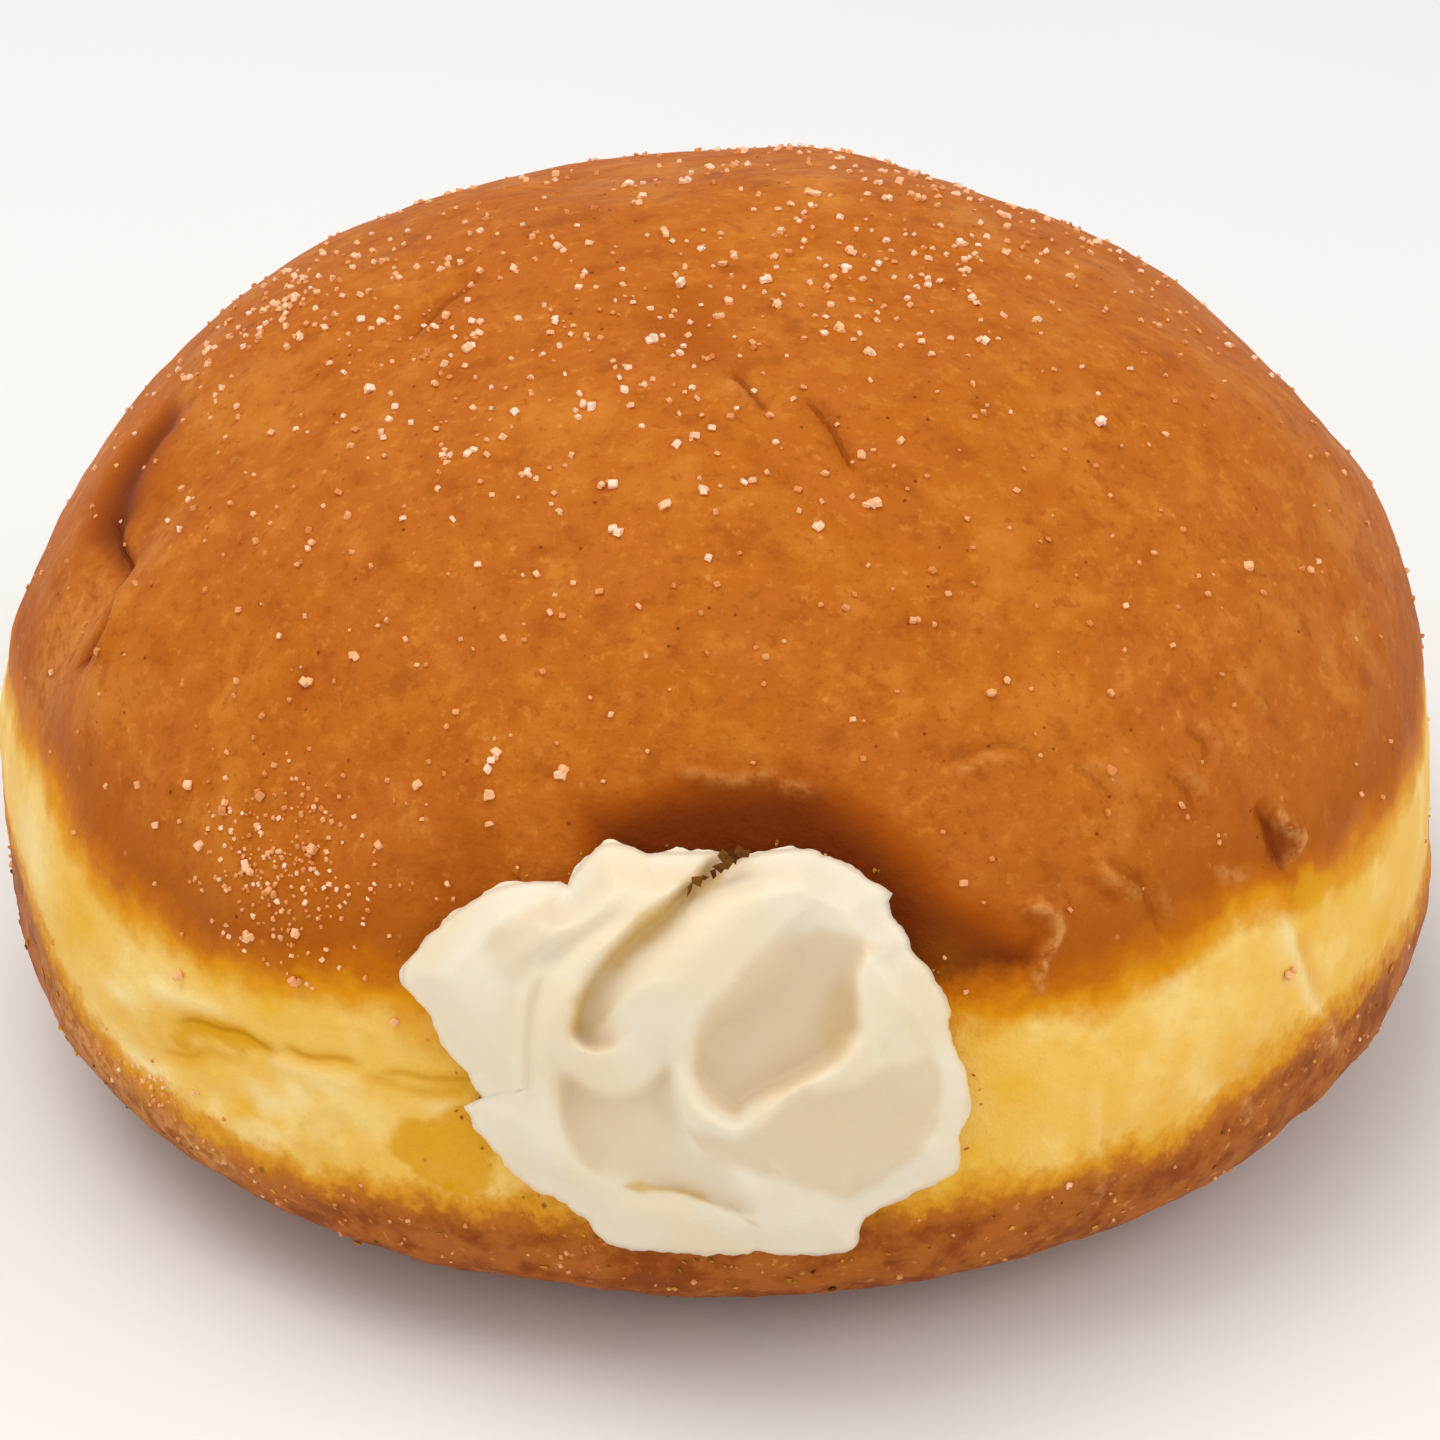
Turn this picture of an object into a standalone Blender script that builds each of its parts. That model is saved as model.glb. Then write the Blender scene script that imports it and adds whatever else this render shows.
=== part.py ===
"""A cream-filled doughnut: a fried bun with sugar on its crust, and the cream that fills it.

Units are metres and +Z is up. The origin is the centre of the flat spot that the bun rests on,
and the cream comes out of the bun's side at -Y.

The bun is a body of revolution with a domed top and a flatter underside, pressed in round the
mouth that the cream was piped through. The cream is one piece: a pocket inside the bun, a neck
through the mouth, and a dollop outside it, folded into lips and hollows.
"""

import math
import random
from collections import namedtuple

import bmesh
import bpy
import numpy as np
from mathutils import Matrix, Vector

MM = 0.001

Lip = namedtuple("Lip", "route height left right ends")
Ledge = namedtuple("Ledge", "route drop edge reach ends")
Scoop = namedtuple("Scoop", "centre radii turn depth")
Patch = namedtuple("Patch", "azimuth latitude spread count")

# Size of the bun
BUN_RADIUS = 44.0 * MM
TOP_HEIGHT = 0.818 * BUN_RADIUS
BOTTOM_HEIGHT = 0.352 * BUN_RADIUS
TOP_ROUNDNESS = 2.15
BOTTOM_ROUNDNESS = 3.8
REST_HEIGHT = 0.985 * BOTTOM_HEIGHT
BUN_DETAIL = 5

# Unevenness of the bun
LUMP_COUNT = 16
LUMP_DEPTH = 0.08 * MM
LUMP_WAVELENGTHS = (14.0 * MM, 40.0 * MM)
LUMP_FADE_HEIGHT = -9.0 * MM
LUMP_SEED = 7

# Fold in the crust on the left, as azimuth and height of its middle
FOLD_AZIMUTH = -70.0
FOLD_LATITUDE = 33.0
FOLD_LENGTH = 8.0 * MM
FOLD_WIDTH = 2.6 * MM
FOLD_DEPTH = 1.1 * MM
FOLD_BULGE = 0.5 * MM
FOLD_BULGE_ASIDE = 2.2 * FOLD_WIDTH
FOLD_BULGE_WIDTH = 1.6 * FOLD_WIDTH

# Mouth, and the hollow in the crust round it
MOUTH_X = 0.3 * MM
MOUTH_Z = 8.0 * MM
MOUTH_HALF_WIDTH = 8.5 * MM
MOUTH_HALF_HEIGHT = 5.5 * MM
HOLLOW_HALF_WIDTH = 15.5 * MM
HOLLOW_HALF_HEIGHT = 12.0 * MM
HOLLOW_DEPTH = 2.6 * MM
HOLLOW_FLATNESS = 1.3
HOLLOW_REFINED = 20.0 * MM

# Pocket of cream inside the bun
POCKET_CENTRE_Y = -3.0 * MM
POCKET_CENTRE_Z = 5.0 * MM
POCKET_HALF_LENGTH = 22.0 * MM
POCKET_HALF_WIDTH = 25.0 * MM
POCKET_HALF_HEIGHT = 8.5 * MM
CREAM_GAP = 0.3 * MM
SLIDE_STEPS = 14
LEAST_SLOPE = 0.25

# Dollop: its face leans up by this angle, and its shape is drawn on that leaning plane
FACE_LEAN = math.radians(33.5)
FACE_CENTRE = (-1.8 * MM, -43.2 * MM, 7.4 * MM)
CREAM_COLUMNS = 64
FACE_ROWS = 15
FACE_SHARE = 0.87
RIM_SHARES = (0.93, 0.97, 1.0)
TUCK_SHARE = 0.96
BACK_ROWS = 4
INNER_ROWS = 10
CUTTER_FRONT = -50.0 * MM
CUTTER_FLARE = 1.0 * MM

# The dollop's shape is in millimetres on its leaning plane
DOLLOP_EDGE_HEIGHT = 3.0
DOLLOP_CROWN = 2.2
DOLLOP_CROWN_HALF_WIDTH = 17.0
DOLLOP_CROWN_HALF_HEIGHT = 12.5
RIM_WIDTH = 1.7

DOLLOP_OUTLINE = [
    (-15.3, 3.8), (-14.0, 5.8), (-11.9, 7.5), (-9.8, 8.6), (-6.9, 9.0), (-6.4, 8.7), (-4.4, 10.8),
    (-1.5, 10.4), (1.6, 10.4), (2.3, 10.0), (4.7, 10.5), (7.2, 10.4), (10.8, 8.3), (10.7, 7.6),
    (12.2, 5.3), (13.9, 2.5), (14.2, 0.5), (15.2, -2.0), (14.9, -4.5), (14.5, -6.8), (12.7, -7.7),
    (9.7, -9.3), (8.9, -11.0), (4.7, -11.2), (-3.6, -10.8), (-6.0, -8.9), (-9.2, -7.0),
    (-11.4, -4.3), (-12.1, -3.1), (-11.2, -2.5), (-12.9, -0.2), (-13.9, 1.8),
]

# The hollow on the right of the dollop, and the crest that curls round the long groove beside it
HOLLOW_SCOOP = Scoop(centre=(5.0, 1.3), radii=(5.2, 3.9), turn=28.0, depth=1.9)
SCOOP_FLATNESS = 1.3
CREST_ROUTE = [
    (1.6, 10.1), (-1.5, 7.8), (-4.1, 5.5), (-5.8, 3.2), (-6.3, 0.7), (-5.2, -1.5), (-2.9, -1.9), (-0.8, -0.2),
]
GROOVE = Ledge(route=CREST_ROUTE, drop=2.3, edge=1.2, reach=1.9, ends=(0.03, 0.3))

# Lips and, where their height is negative, troughs: width on the left and right of the route, and the
# share of the route over which each end fades
LIPS = [
    # the crest
    Lip(route=CREST_ROUTE, height=0.8, left=0.8, right=1.1, ends=(0.05, 0.2)),
    # the thin lip that closes the hollow below
    Lip(route=[(10.2, 6.1), (9.9, 2.5), (8.9, -0.3), (6.0, -2.2), (2.8, -3.8), (0.7, -2.6), (0.0, -0.4),
               (0.4, 1.7)],
        height=0.8, left=0.75, right=0.5, ends=(0.25, 0.15)),
    # the tongue between the hollow and the groove
    Lip(route=[(7.2, 9.6), (3.3, 7.3), (-0.2, 4.2), (-2.5, 0.9)],
        height=0.9, left=2.4, right=2.4, ends=(0.1, 0.25)),
    # the shallow trough of the left lobe, and the line beside it
    Lip(route=[(-11.7, 4.2), (-7.7, 5.2), (-3.6, 7.5), (-0.2, 10.0)],
        height=-0.55, left=1.5, right=1.5, ends=(0.15, 0.15)),
    Lip(route=[(-4.4, 5.2), (-6.9, 3.8), (-8.2, 1.3), (-8.5, -2.5)],
        height=-0.35, left=0.7, right=0.5, ends=(0.15, 0.15)),
    # the upright fold left of the lower trough
    Lip(route=[(-5.6, 4.2), (-7.2, 1.3), (-7.4, -2.0), (-6.7, -5.4), (-4.8, -7.6), (-1.9, -8.7)],
        height=0.55, left=1.0, right=1.2, ends=(0.2, 0.3)),
    # the lower trough, and the crease at its end
    Lip(route=[(-5.2, -2.5), (-4.8, -4.5), (-2.7, -6.4), (0.2, -7.6), (3.3, -8.8)],
        height=-1.0, left=2.4, right=1.2, ends=(0.15, 0.1)),
    Lip(route=[(-1.7, -7.4), (0.2, -7.9), (1.8, -8.5), (3.5, -9.1)],
        height=-0.9, left=0.9, right=0.5, ends=(0.3, 0.2)),
    # the fold that runs down from under the hollow
    Lip(route=[(-0.5, -0.4), (-0.4, -2.9), (0.8, -4.9), (2.7, -6.4), (4.7, -7.2)],
        height=0.5, left=0.9, right=1.4, ends=(0.2, 0.4)),
    # the rolled edge at the bottom
    Lip(route=[(-5.2, -8.7), (-1.5, -8.9), (2.7, -9.9), (7.9, -9.9)],
        height=0.7, left=0.8, right=1.6, ends=(0.2, 0.2)),
]

# Sugar grains that are large enough to model, in patches with a spread in degrees
SUGAR_PATCHES = [
    Patch(azimuth=-45.0, latitude=69.0, spread=11.0, count=20),
    Patch(azimuth=175.0, latitude=79.0, spread=8.0, count=8),
    Patch(azimuth=65.0, latitude=76.0, spread=7.0, count=13),
    Patch(azimuth=-38.0, latitude=21.0, spread=6.0, count=15),
    Patch(azimuth=-21.0, latitude=33.0, spread=5.0, count=5),
    Patch(azimuth=13.0, latitude=55.0, spread=3.0, count=3),
    Patch(azimuth=-8.0, latitude=54.0, spread=3.0, count=3),
    Patch(azimuth=-91.0, latitude=57.0, spread=5.0, count=4),
    Patch(azimuth=119.0, latitude=63.0, spread=6.0, count=6),
    Patch(azimuth=50.0, latitude=42.0, spread=16.0, count=4),
    Patch(azimuth=150.0, latitude=45.0, spread=18.0, count=4),
    Patch(azimuth=-150.0, latitude=48.0, spread=16.0, count=5),
]
SUGAR_TRIES = 20
SUGAR_SEED = 21
SUGAR_SIZES = (0.65 * MM, 0.9 * MM)
SUGAR_PROPORTIONS = (1.0, 0.85, 0.7)
SUGAR_SUNK = 0.04
SUGAR_SPACING = 1.6 * MM
SUGAR_CREAM_CLEARANCE = 1.6

# Finishes: linear colour, roughness
CRUST_FINISH = ((0.48, 0.17, 0.035, 1.0), 0.5)
CREAM_FINISH = ((0.86, 0.80, 0.64, 1.0), 0.4)
SHARP_ANGLE = 40.0
SLIVER = 0.01 * MM


def clear_scene():
    """Removes every object that the scene starts with."""
    for thing in list(bpy.data.objects):
        bpy.data.objects.remove(thing, do_unlink=True)


def make_material(name, finish):
    """Makes a Principled material from a colour and a roughness."""
    colour, roughness = finish
    material = bpy.data.materials.new(name)
    material.use_nodes = True
    shader = material.node_tree.nodes["Principled BSDF"]
    shader.inputs["Base Color"].default_value = colour
    shader.inputs["Roughness"].default_value = roughness
    shader.inputs["Metallic"].default_value = 0.0
    return material


def smooth_step(value):
    """Goes from 0 to 1 with level ends."""
    value = np.clip(value, 0.0, 1.0)
    return value * value * (3.0 - 2.0 * value)


def direction(azimuth, latitude):
    """Unit direction of an azimuth, 0 at the front and growing to the right, and a latitude."""
    turn, rise = math.radians(azimuth), math.radians(latitude)
    return np.array([math.sin(turn) * math.cos(rise), -math.cos(turn) * math.cos(rise), math.sin(rise)])


# Surface of the bun

def lumps(places):
    """Gentle unevenness, of plane waves that run in many directions, fading towards the underside."""
    dice = np.random.default_rng(LUMP_SEED)
    total = np.zeros(len(places))
    for _ in range(LUMP_COUNT):
        heading = dice.normal(size=3)
        heading /= np.linalg.norm(heading)
        wavelength = dice.uniform(*LUMP_WAVELENGTHS)
        phase = dice.uniform(0.0, 2.0 * math.pi)
        total += LUMP_DEPTH * np.sin(places @ heading * (2.0 * math.pi / wavelength) + phase)
    return total * smooth_step(1.0 - places[:, 2] / LUMP_FADE_HEIGHT)


def side_fold(directions):
    """The fold in the crust on the left, with a slight bulge beside it."""
    middle = direction(FOLD_AZIMUTH, FOLD_LATITUDE)
    along = direction(FOLD_AZIMUTH, FOLD_LATITUDE + 90.0)
    across = np.cross(along, middle)
    run = directions @ along * BUN_RADIUS
    aside = directions @ across * BUN_RADIUS
    facing = directions @ middle > 0.0
    dip = -FOLD_DEPTH * np.exp(-(aside / FOLD_WIDTH) ** 2)
    bulge = FOLD_BULGE * np.exp(-((aside - FOLD_BULGE_ASIDE) / FOLD_BULGE_WIDTH) ** 2)
    return np.where(facing, (dip + bulge) * np.exp(-(run / FOLD_LENGTH) ** 2), 0.0)


def mouth_hollow(places):
    """The hollow that the crust makes round the mouth."""
    aside = (places[:, 0] - MOUTH_X) / HOLLOW_HALF_WIDTH
    rise = (places[:, 2] - MOUTH_Z) / HOLLOW_HALF_HEIGHT
    facing = places[:, 1] < 0.0
    return np.where(facing, -HOLLOW_DEPTH * np.exp(-((aside ** 2 + rise ** 2) ** HOLLOW_FLATNESS)), 0.0)


def plain_bun(directions):
    """Points and outward normals of the even bun, measured from the middle of its widest plane."""
    level = np.hypot(directions[:, 0], directions[:, 1])
    up = directions[:, 2] > 0.0
    roundness = np.where(up, TOP_ROUNDNESS, BOTTOM_ROUNDNESS)
    height = np.where(up, TOP_HEIGHT, BOTTOM_HEIGHT)
    upright = np.abs(directions[:, 2])
    reach = (level ** roundness + upright ** roundness) ** (-1.0 / roundness)
    places = directions * reach[:, None]
    places[:, :2] *= BUN_RADIUS
    places[:, 2] *= height
    out = (level * reach) ** (roundness - 1.0) / BUN_RADIUS
    lift = np.sign(directions[:, 2]) * (upright * reach) ** (roundness - 1.0) / height
    level = np.maximum(level, 1e-9)
    normals = np.stack([directions[:, 0] / level * out, directions[:, 1] / level * out, lift], axis=1)
    return places, normals / np.linalg.norm(normals, axis=1)[:, None]


def bun_surface(directions, hollow=True):
    """Points and normals of the uneven bun, with or without the hollow round the mouth."""
    places, normals = plain_bun(directions)
    offset = lumps(places) + side_fold(directions)
    if hollow:
        offset += mouth_hollow(places)
    return places + normals * offset[:, None], normals


def to_directions(places):
    """Directions in which the even bun has its surface over the given places."""
    height = np.where(places[:, 2] > 0.0, TOP_HEIGHT, BOTTOM_HEIGHT)
    scaled = np.stack([places[:, 0] / BUN_RADIUS, places[:, 1] / BUN_RADIUS, places[:, 2] / height], axis=1)
    return scaled / np.linalg.norm(scaled, axis=1)[:, None]


def slide_to_bun(places, heading, gap, hollow=True):
    """Slides places along a heading until they are at a gap outside the bun."""
    heading = np.array(heading)
    places = places.copy()
    for _ in range(SLIDE_STEPS):
        surface, normals = bun_surface(to_directions(places), hollow)
        miss = np.sum((places - surface) * normals, axis=1) - gap
        slope = np.maximum(normals @ heading, LEAST_SLOPE)
        places -= (miss / slope)[:, None] * heading
    return places


# Folds of the cream

def curve_through(points, closed=False, per_span=8):
    """Smooth curve through points, as short segments."""
    points = np.array(points, float)
    if closed:
        knots = np.vstack([points[-1:], points, points[:2]])
    else:
        knots = np.vstack([2 * points[0] - points[1], points, 2 * points[-1] - points[-2]])
    t = np.arange(per_span)[:, None] / per_span
    spans = []
    for a, b, c, d in zip(knots, knots[1:], knots[2:], knots[3:]):
        spans.append(b + 0.5 * t * (c - a + t * (2 * a - 5 * b + 4 * c - d + t * (3 * b - a - 3 * c + d))))
    spans.append(knots[-2:-1])
    return np.vstack(spans)


def measure_to(line, spots):
    """Distance of each spot to a line, positive on its left, and where along it that is, from 0 to 1."""
    starts, steps = line[:-1], np.diff(line, axis=0)
    lengths = np.linalg.norm(steps, axis=1)
    runs = np.concatenate([[0.0], np.cumsum(lengths)])
    nearest = np.full(len(spots), np.inf)
    side = np.ones(len(spots))
    place = np.zeros(len(spots))
    for start, step, length, run in zip(starts, steps, lengths, runs):
        offset = spots - start
        share = np.clip(offset @ step / length ** 2, 0.0, 1.0)
        distance = np.linalg.norm(offset - share[:, None] * step, axis=1)
        closer = distance < nearest
        nearest = np.where(closer, distance, nearest)
        side = np.where(closer, np.sign(step[0] * offset[:, 1] - step[1] * offset[:, 0]), side)
        place = np.where(closer, (run + share * length) / runs[-1], place)
    return nearest * side, place


def fade_ends(place, ends):
    """Goes from 0 to 1 and back to 0 over the two ends of a route."""
    return smooth_step(place / ends[0]) * smooth_step((1.0 - place) / ends[1])


def lip_height(spots, lip):
    """Height that a lip adds at each spot."""
    distance, place = measure_to(curve_through(lip.route), spots)
    width = np.where(distance > 0.0, lip.left, lip.right)
    return lip.height * fade_ends(place, lip.ends) * np.exp(-(distance / width) ** 2)


def ledge_height(spots, ledge):
    """Height of ground that drops at the left of a route and comes back up over a reach."""
    distance, place = measure_to(curve_through(ledge.route), spots)
    left = np.maximum(distance, 0.0)
    fall = smooth_step(left / ledge.edge) * np.exp(-(left / ledge.reach) ** 2)
    return -ledge.drop * fade_ends(place, ledge.ends) * fall


def scoop_height(spots, scoop):
    """Height that a round hollow adds at each spot; its turn is in degrees."""
    cosine, sine = math.cos(math.radians(scoop.turn)), math.sin(math.radians(scoop.turn))
    offset = spots - np.array(scoop.centre)
    along = (offset[:, 0] * cosine + offset[:, 1] * sine) / scoop.radii[0]
    across = (offset[:, 1] * cosine - offset[:, 0] * sine) / scoop.radii[1]
    return -scoop.depth * np.exp(-((along ** 2 + across ** 2) ** SCOOP_FLATNESS))


def dollop_height(spots):
    """How far the dollop stands out of the bun at each spot of its leaning plane."""
    inside = np.maximum(-measure_to(curve_through(DOLLOP_OUTLINE, closed=True), spots)[0], 0.0)
    across = spots[:, 0] / DOLLOP_CROWN_HALF_WIDTH
    upward = spots[:, 1] / DOLLOP_CROWN_HALF_HEIGHT
    height = DOLLOP_EDGE_HEIGHT + DOLLOP_CROWN * np.clip(1.0 - across ** 2 - upward ** 2, 0.0, 1.0)
    height += scoop_height(spots, HOLLOW_SCOOP) + ledge_height(spots, GROOVE)
    for lip in LIPS:
        height += lip_height(spots, lip)
    rim = np.clip(inside / RIM_WIDTH, 0.0, 1.0)
    return height * np.sqrt(1.0 - (1.0 - rim) ** 2)


# Meshes

def mesh_object(name, corners, faces, material):
    """Makes an object from corners and faces, with its faces turned outwards."""
    mesh = bpy.data.meshes.new(name)
    mesh.from_pydata([tuple(corner) for corner in corners], [], faces)
    mesh.materials.append(material)
    body = bpy.data.objects.new(name, mesh)
    bpy.context.scene.collection.objects.link(body)
    edit = bmesh.new()
    edit.from_mesh(mesh)
    bmesh.ops.recalc_face_normals(edit, faces=edit.faces)
    edit.to_mesh(mesh)
    edit.free()
    return body


def ringed_faces(rows, columns):
    """Faces of a closed mesh of rings, with a pole before the first ring and one after the last."""
    first, last = 0, rows * columns + 1
    faces = []
    for k in range(columns):
        after = (k + 1) % columns
        faces.append((first, 1 + k, 1 + after))
        for row in range(rows - 1):
            here, there = 1 + row * columns, 1 + (row + 1) * columns
            faces.append((here + k, there + k, there + after, here + after))
        faces.append((last, last - columns + after, last - columns + k))
    return faces


def apply_boolean(body, operation, solver, cutter=None, collection=None):
    """Joins or cuts a body with another one, or with all that a collection holds."""
    modifier = body.modifiers.new(operation.title(), "BOOLEAN")
    modifier.operation = operation
    modifier.solver = solver
    if collection:
        modifier.operand_type = "COLLECTION"
        modifier.collection = collection
    else:
        modifier.object = cutter
    bpy.context.view_layer.objects.active = body
    bpy.ops.object.modifier_apply(modifier=modifier.name)


def inner_rings(grow):
    """Rings of the neck and the pocket, from the mouth inwards, and the pole at their end."""
    start = FACE_CENTRE[1] + HOLLOW_DEPTH
    end = POCKET_CENTRE_Y + POCKET_HALF_LENGTH + grow
    turns = np.arange(CREAM_COLUMNS) * 2.0 * math.pi / CREAM_COLUMNS
    rings = []
    for row in range(INNER_ROWS):
        share = (row + 1.0) / (INNER_ROWS + 1.0)
        depth = start + (end - start) * math.sin(share * math.pi / 2.0)
        bulk = max(1.0 - ((depth - POCKET_CENTRE_Y) / (POCKET_HALF_LENGTH + grow)) ** 2, 0.0)
        neck = 1.0 - smooth_step((depth - POCKET_CENTRE_Y) / POCKET_HALF_LENGTH + 0.5)
        width = ((MOUTH_HALF_WIDTH * neck) ** 4 + POCKET_HALF_WIDTH ** 4 * bulk ** 2) ** 0.25 + grow
        height = ((MOUTH_HALF_HEIGHT * neck) ** 4 + POCKET_HALF_HEIGHT ** 4 * bulk ** 2) ** 0.25 + grow
        inward = smooth_step(1.0 + depth / BUN_RADIUS)
        middle_x = MOUTH_X * (1.0 - inward)
        middle_z = MOUTH_Z + (POCKET_CENTRE_Z - MOUTH_Z) * inward
        rings.append(np.stack([middle_x + width * np.cos(turns), np.full(len(turns), depth),
                               middle_z + height * np.sin(turns)], axis=1))
    return rings, np.array([[0.0, end, POCKET_CENTRE_Z]])


def mouth_ring(grow, depth):
    """The outline of the mouth at one depth."""
    turns = np.arange(CREAM_COLUMNS) * 2.0 * math.pi / CREAM_COLUMNS
    return np.stack([MOUTH_X + (MOUTH_HALF_WIDTH + grow) * np.cos(turns), np.full(len(turns), depth),
                     MOUTH_Z + (MOUTH_HALF_HEIGHT + grow) * np.sin(turns)], axis=1)


def outline_radii():
    """Reach of the dollop's outline at evenly spaced angles of its leaning plane."""
    line = curve_through(DOLLOP_OUTLINE, closed=True)
    angles = np.arctan2(line[:, 1], line[:, 0])
    order = np.argsort(angles)
    turns = np.arange(CREAM_COLUMNS) * 2.0 * math.pi / CREAM_COLUMNS
    reach = np.interp(turns, angles[order], np.hypot(line[:, 0], line[:, 1])[order], period=2.0 * math.pi)
    return np.stack([reach * np.cos(turns), reach * np.sin(turns)], axis=1)


def face_axes():
    """The leaning plane's directions: to the right, up along it, and out of it."""
    right = np.array([1.0, 0.0, 0.0])
    upward = np.array([0.0, math.sin(FACE_LEAN), math.cos(FACE_LEAN)])
    outward = np.array([0.0, -math.cos(FACE_LEAN), math.sin(FACE_LEAN)])
    return right, upward, outward


def on_face(spots, height, hollow=False):
    """Places over spots of the leaning plane, at a height over the bun."""
    right, upward, outward = face_axes()
    flat = np.array(FACE_CENTRE) + MM * (spots[:, :1] * right + spots[:, 1:] * upward)
    return slide_to_bun(flat, outward, CREAM_GAP, hollow) + MM * height[:, None] * outward


def make_cream(material):
    """The cream: dollop, neck and pocket in one closed piece."""
    outline = outline_radii()
    centre = np.zeros((1, 2))
    rings = []
    for row in range(FACE_ROWS):
        spots = outline * FACE_SHARE * (row + 1.0) / FACE_ROWS
        rings.append(on_face(spots, dollop_height(spots)))
    for share in RIM_SHARES:
        spots = outline * share
        rings.append(on_face(spots, dollop_height(spots)))
    tucked = on_face(outline * TUCK_SHARE, np.zeros(len(outline)), hollow=True)
    mouth = slide_to_bun(mouth_ring(0.0, FACE_CENTRE[1]), (0.0, -1.0, 0.0), CREAM_GAP)
    for row in range(BACK_ROWS):
        share = row / BACK_ROWS
        surface, normals = bun_surface(to_directions(tucked * (1.0 - share) + mouth * share))
        rings.append(surface + normals * CREAM_GAP)
    rings.append(mouth)
    inner, end = inner_rings(0.0)
    rings += inner
    corners = np.vstack([on_face(centre, dollop_height(centre))] + rings + [end])
    return mesh_object("cream", corners, ringed_faces(len(rings), CREAM_COLUMNS), material)


def make_cutter(material):
    """What is cut out of the bun for the cream, a gap larger all round."""
    inner, end = inner_rings(CREAM_GAP)
    front = np.array([[MOUTH_X, CUTTER_FRONT, MOUTH_Z]])
    rings = [mouth_ring(CUTTER_FLARE, CUTTER_FRONT)] + inner
    cutter = mesh_object("cream_cutter", np.vstack([front] + rings + [end]),
                         ringed_faces(len(rings), CREAM_COLUMNS), material)
    cutter.hide_render = True
    cutter.display_type = "WIRE"
    return cutter


def make_bun(material):
    """The bun as a closed mesh, finer round the mouth and flat where it rests."""
    edit = bmesh.new()
    bmesh.ops.create_icosphere(edit, subdivisions=BUN_DETAIL, radius=1.0)
    mouth = Vector((MOUTH_X, FACE_CENTRE[1], MOUTH_Z)).normalized()
    near = HOLLOW_REFINED / BUN_RADIUS
    close = [edge for edge in edit.edges
             if any((face.calc_center_median() - mouth).length < near for face in edge.link_faces)]
    bmesh.ops.subdivide_edges(edit, edges=close, cuts=1, use_grid_fill=True)
    bmesh.ops.triangulate(edit, faces=edit.faces)
    directions = np.array([vertex.co.normalized() for vertex in edit.verts])
    surface, _ = bun_surface(directions)
    for vertex, place in zip(edit.verts, surface):
        vertex.co = (place[0], place[1], max(place[2], -REST_HEIGHT))
    mesh = bpy.data.meshes.new("bun")
    edit.to_mesh(mesh)
    edit.free()
    mesh.materials.append(material)
    bun = bpy.data.objects.new("bun", mesh)
    bpy.context.scene.collection.objects.link(bun)
    return bun


def near_cream(place):
    """Tells whether a place on the bun is close to the dollop."""
    right, upward, _ = face_axes()
    offset = (np.array(place) - np.array(FACE_CENTRE)) / MM
    spot = np.array([[offset @ right, offset @ upward]])
    distance, _ = measure_to(curve_through(DOLLOP_OUTLINE, closed=True), spot)
    return place[1] < 0.0 and -distance[0] > -SUGAR_CREAM_CLEARANCE


def sugar_places():
    """Places and outward directions of the larger sugar grains."""
    dice = random.Random(SUGAR_SEED)
    chosen = []
    for patch in SUGAR_PATCHES:
        middle = direction(patch.azimuth, patch.latitude)
        east = direction(patch.azimuth + 90.0, 0.0)
        north = np.cross(middle, east)
        reach = math.radians(patch.spread)
        placed = 0
        for _ in range(SUGAR_TRIES * patch.count):
            heading = middle + reach * (dice.gauss(0.0, 1.0) * east + dice.gauss(0.0, 1.0) * north)
            places, normals = bun_surface((heading / np.linalg.norm(heading))[None])
            crowded = any(np.linalg.norm(places[0] - other) < SUGAR_SPACING for other, _ in chosen)
            if not crowded and not near_cream(places[0]):
                chosen.append((places[0], normals[0]))
                placed += 1
            if placed == patch.count:
                break
    return chosen


def make_sugar(material):
    """Grains of sugar as loose blocks in a collection of their own."""
    dice = random.Random(SUGAR_SEED + 1)
    grains = bpy.data.collections.new("sugar_grains")
    bpy.context.scene.collection.children.link(grains)
    for number, (place, normal) in enumerate(sugar_places()):
        size = dice.uniform(*SUGAR_SIZES)
        axis = Vector((dice.random(), dice.random(), 1.0))
        turn = Matrix.Rotation(dice.uniform(0.0, 2.0 * math.pi), 4, axis)
        lean = Vector(normal).to_track_quat("Z", "Y").to_matrix().to_4x4()
        scale = Matrix.Diagonal([size * part for part in SUGAR_PROPORTIONS] + [1.0])
        edit = bmesh.new()
        bmesh.ops.create_cube(edit, size=1.0, matrix=lean @ turn @ scale)
        bmesh.ops.translate(edit, verts=edit.verts, vec=Vector(place + normal * size * SUGAR_SUNK))
        mesh = bpy.data.meshes.new(f"grain_{number}")
        edit.to_mesh(mesh)
        edit.free()
        mesh.materials.append(material)
        grains.objects.link(bpy.data.objects.new(f"grain_{number}", mesh))
    return grains


def remove_collection(collection):
    """Removes a collection with its objects."""
    for thing in list(collection.objects):
        bpy.data.objects.remove(thing, do_unlink=True)
    bpy.data.collections.remove(collection)


def finish(body):
    """Stands a body on the ground, triangulates it and shades it smooth."""
    edit = bmesh.new()
    edit.from_mesh(body.data)
    bmesh.ops.dissolve_degenerate(edit, dist=SLIVER, edges=edit.edges)
    bmesh.ops.triangulate(edit, faces=edit.faces)
    bmesh.ops.translate(edit, verts=edit.verts, vec=Vector((0.0, 0.0, REST_HEIGHT)))
    edit.to_mesh(body.data)
    edit.free()
    body.data.shade_smooth()
    body.data.set_sharp_from_angle(angle=math.radians(SHARP_ANGLE))


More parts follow.
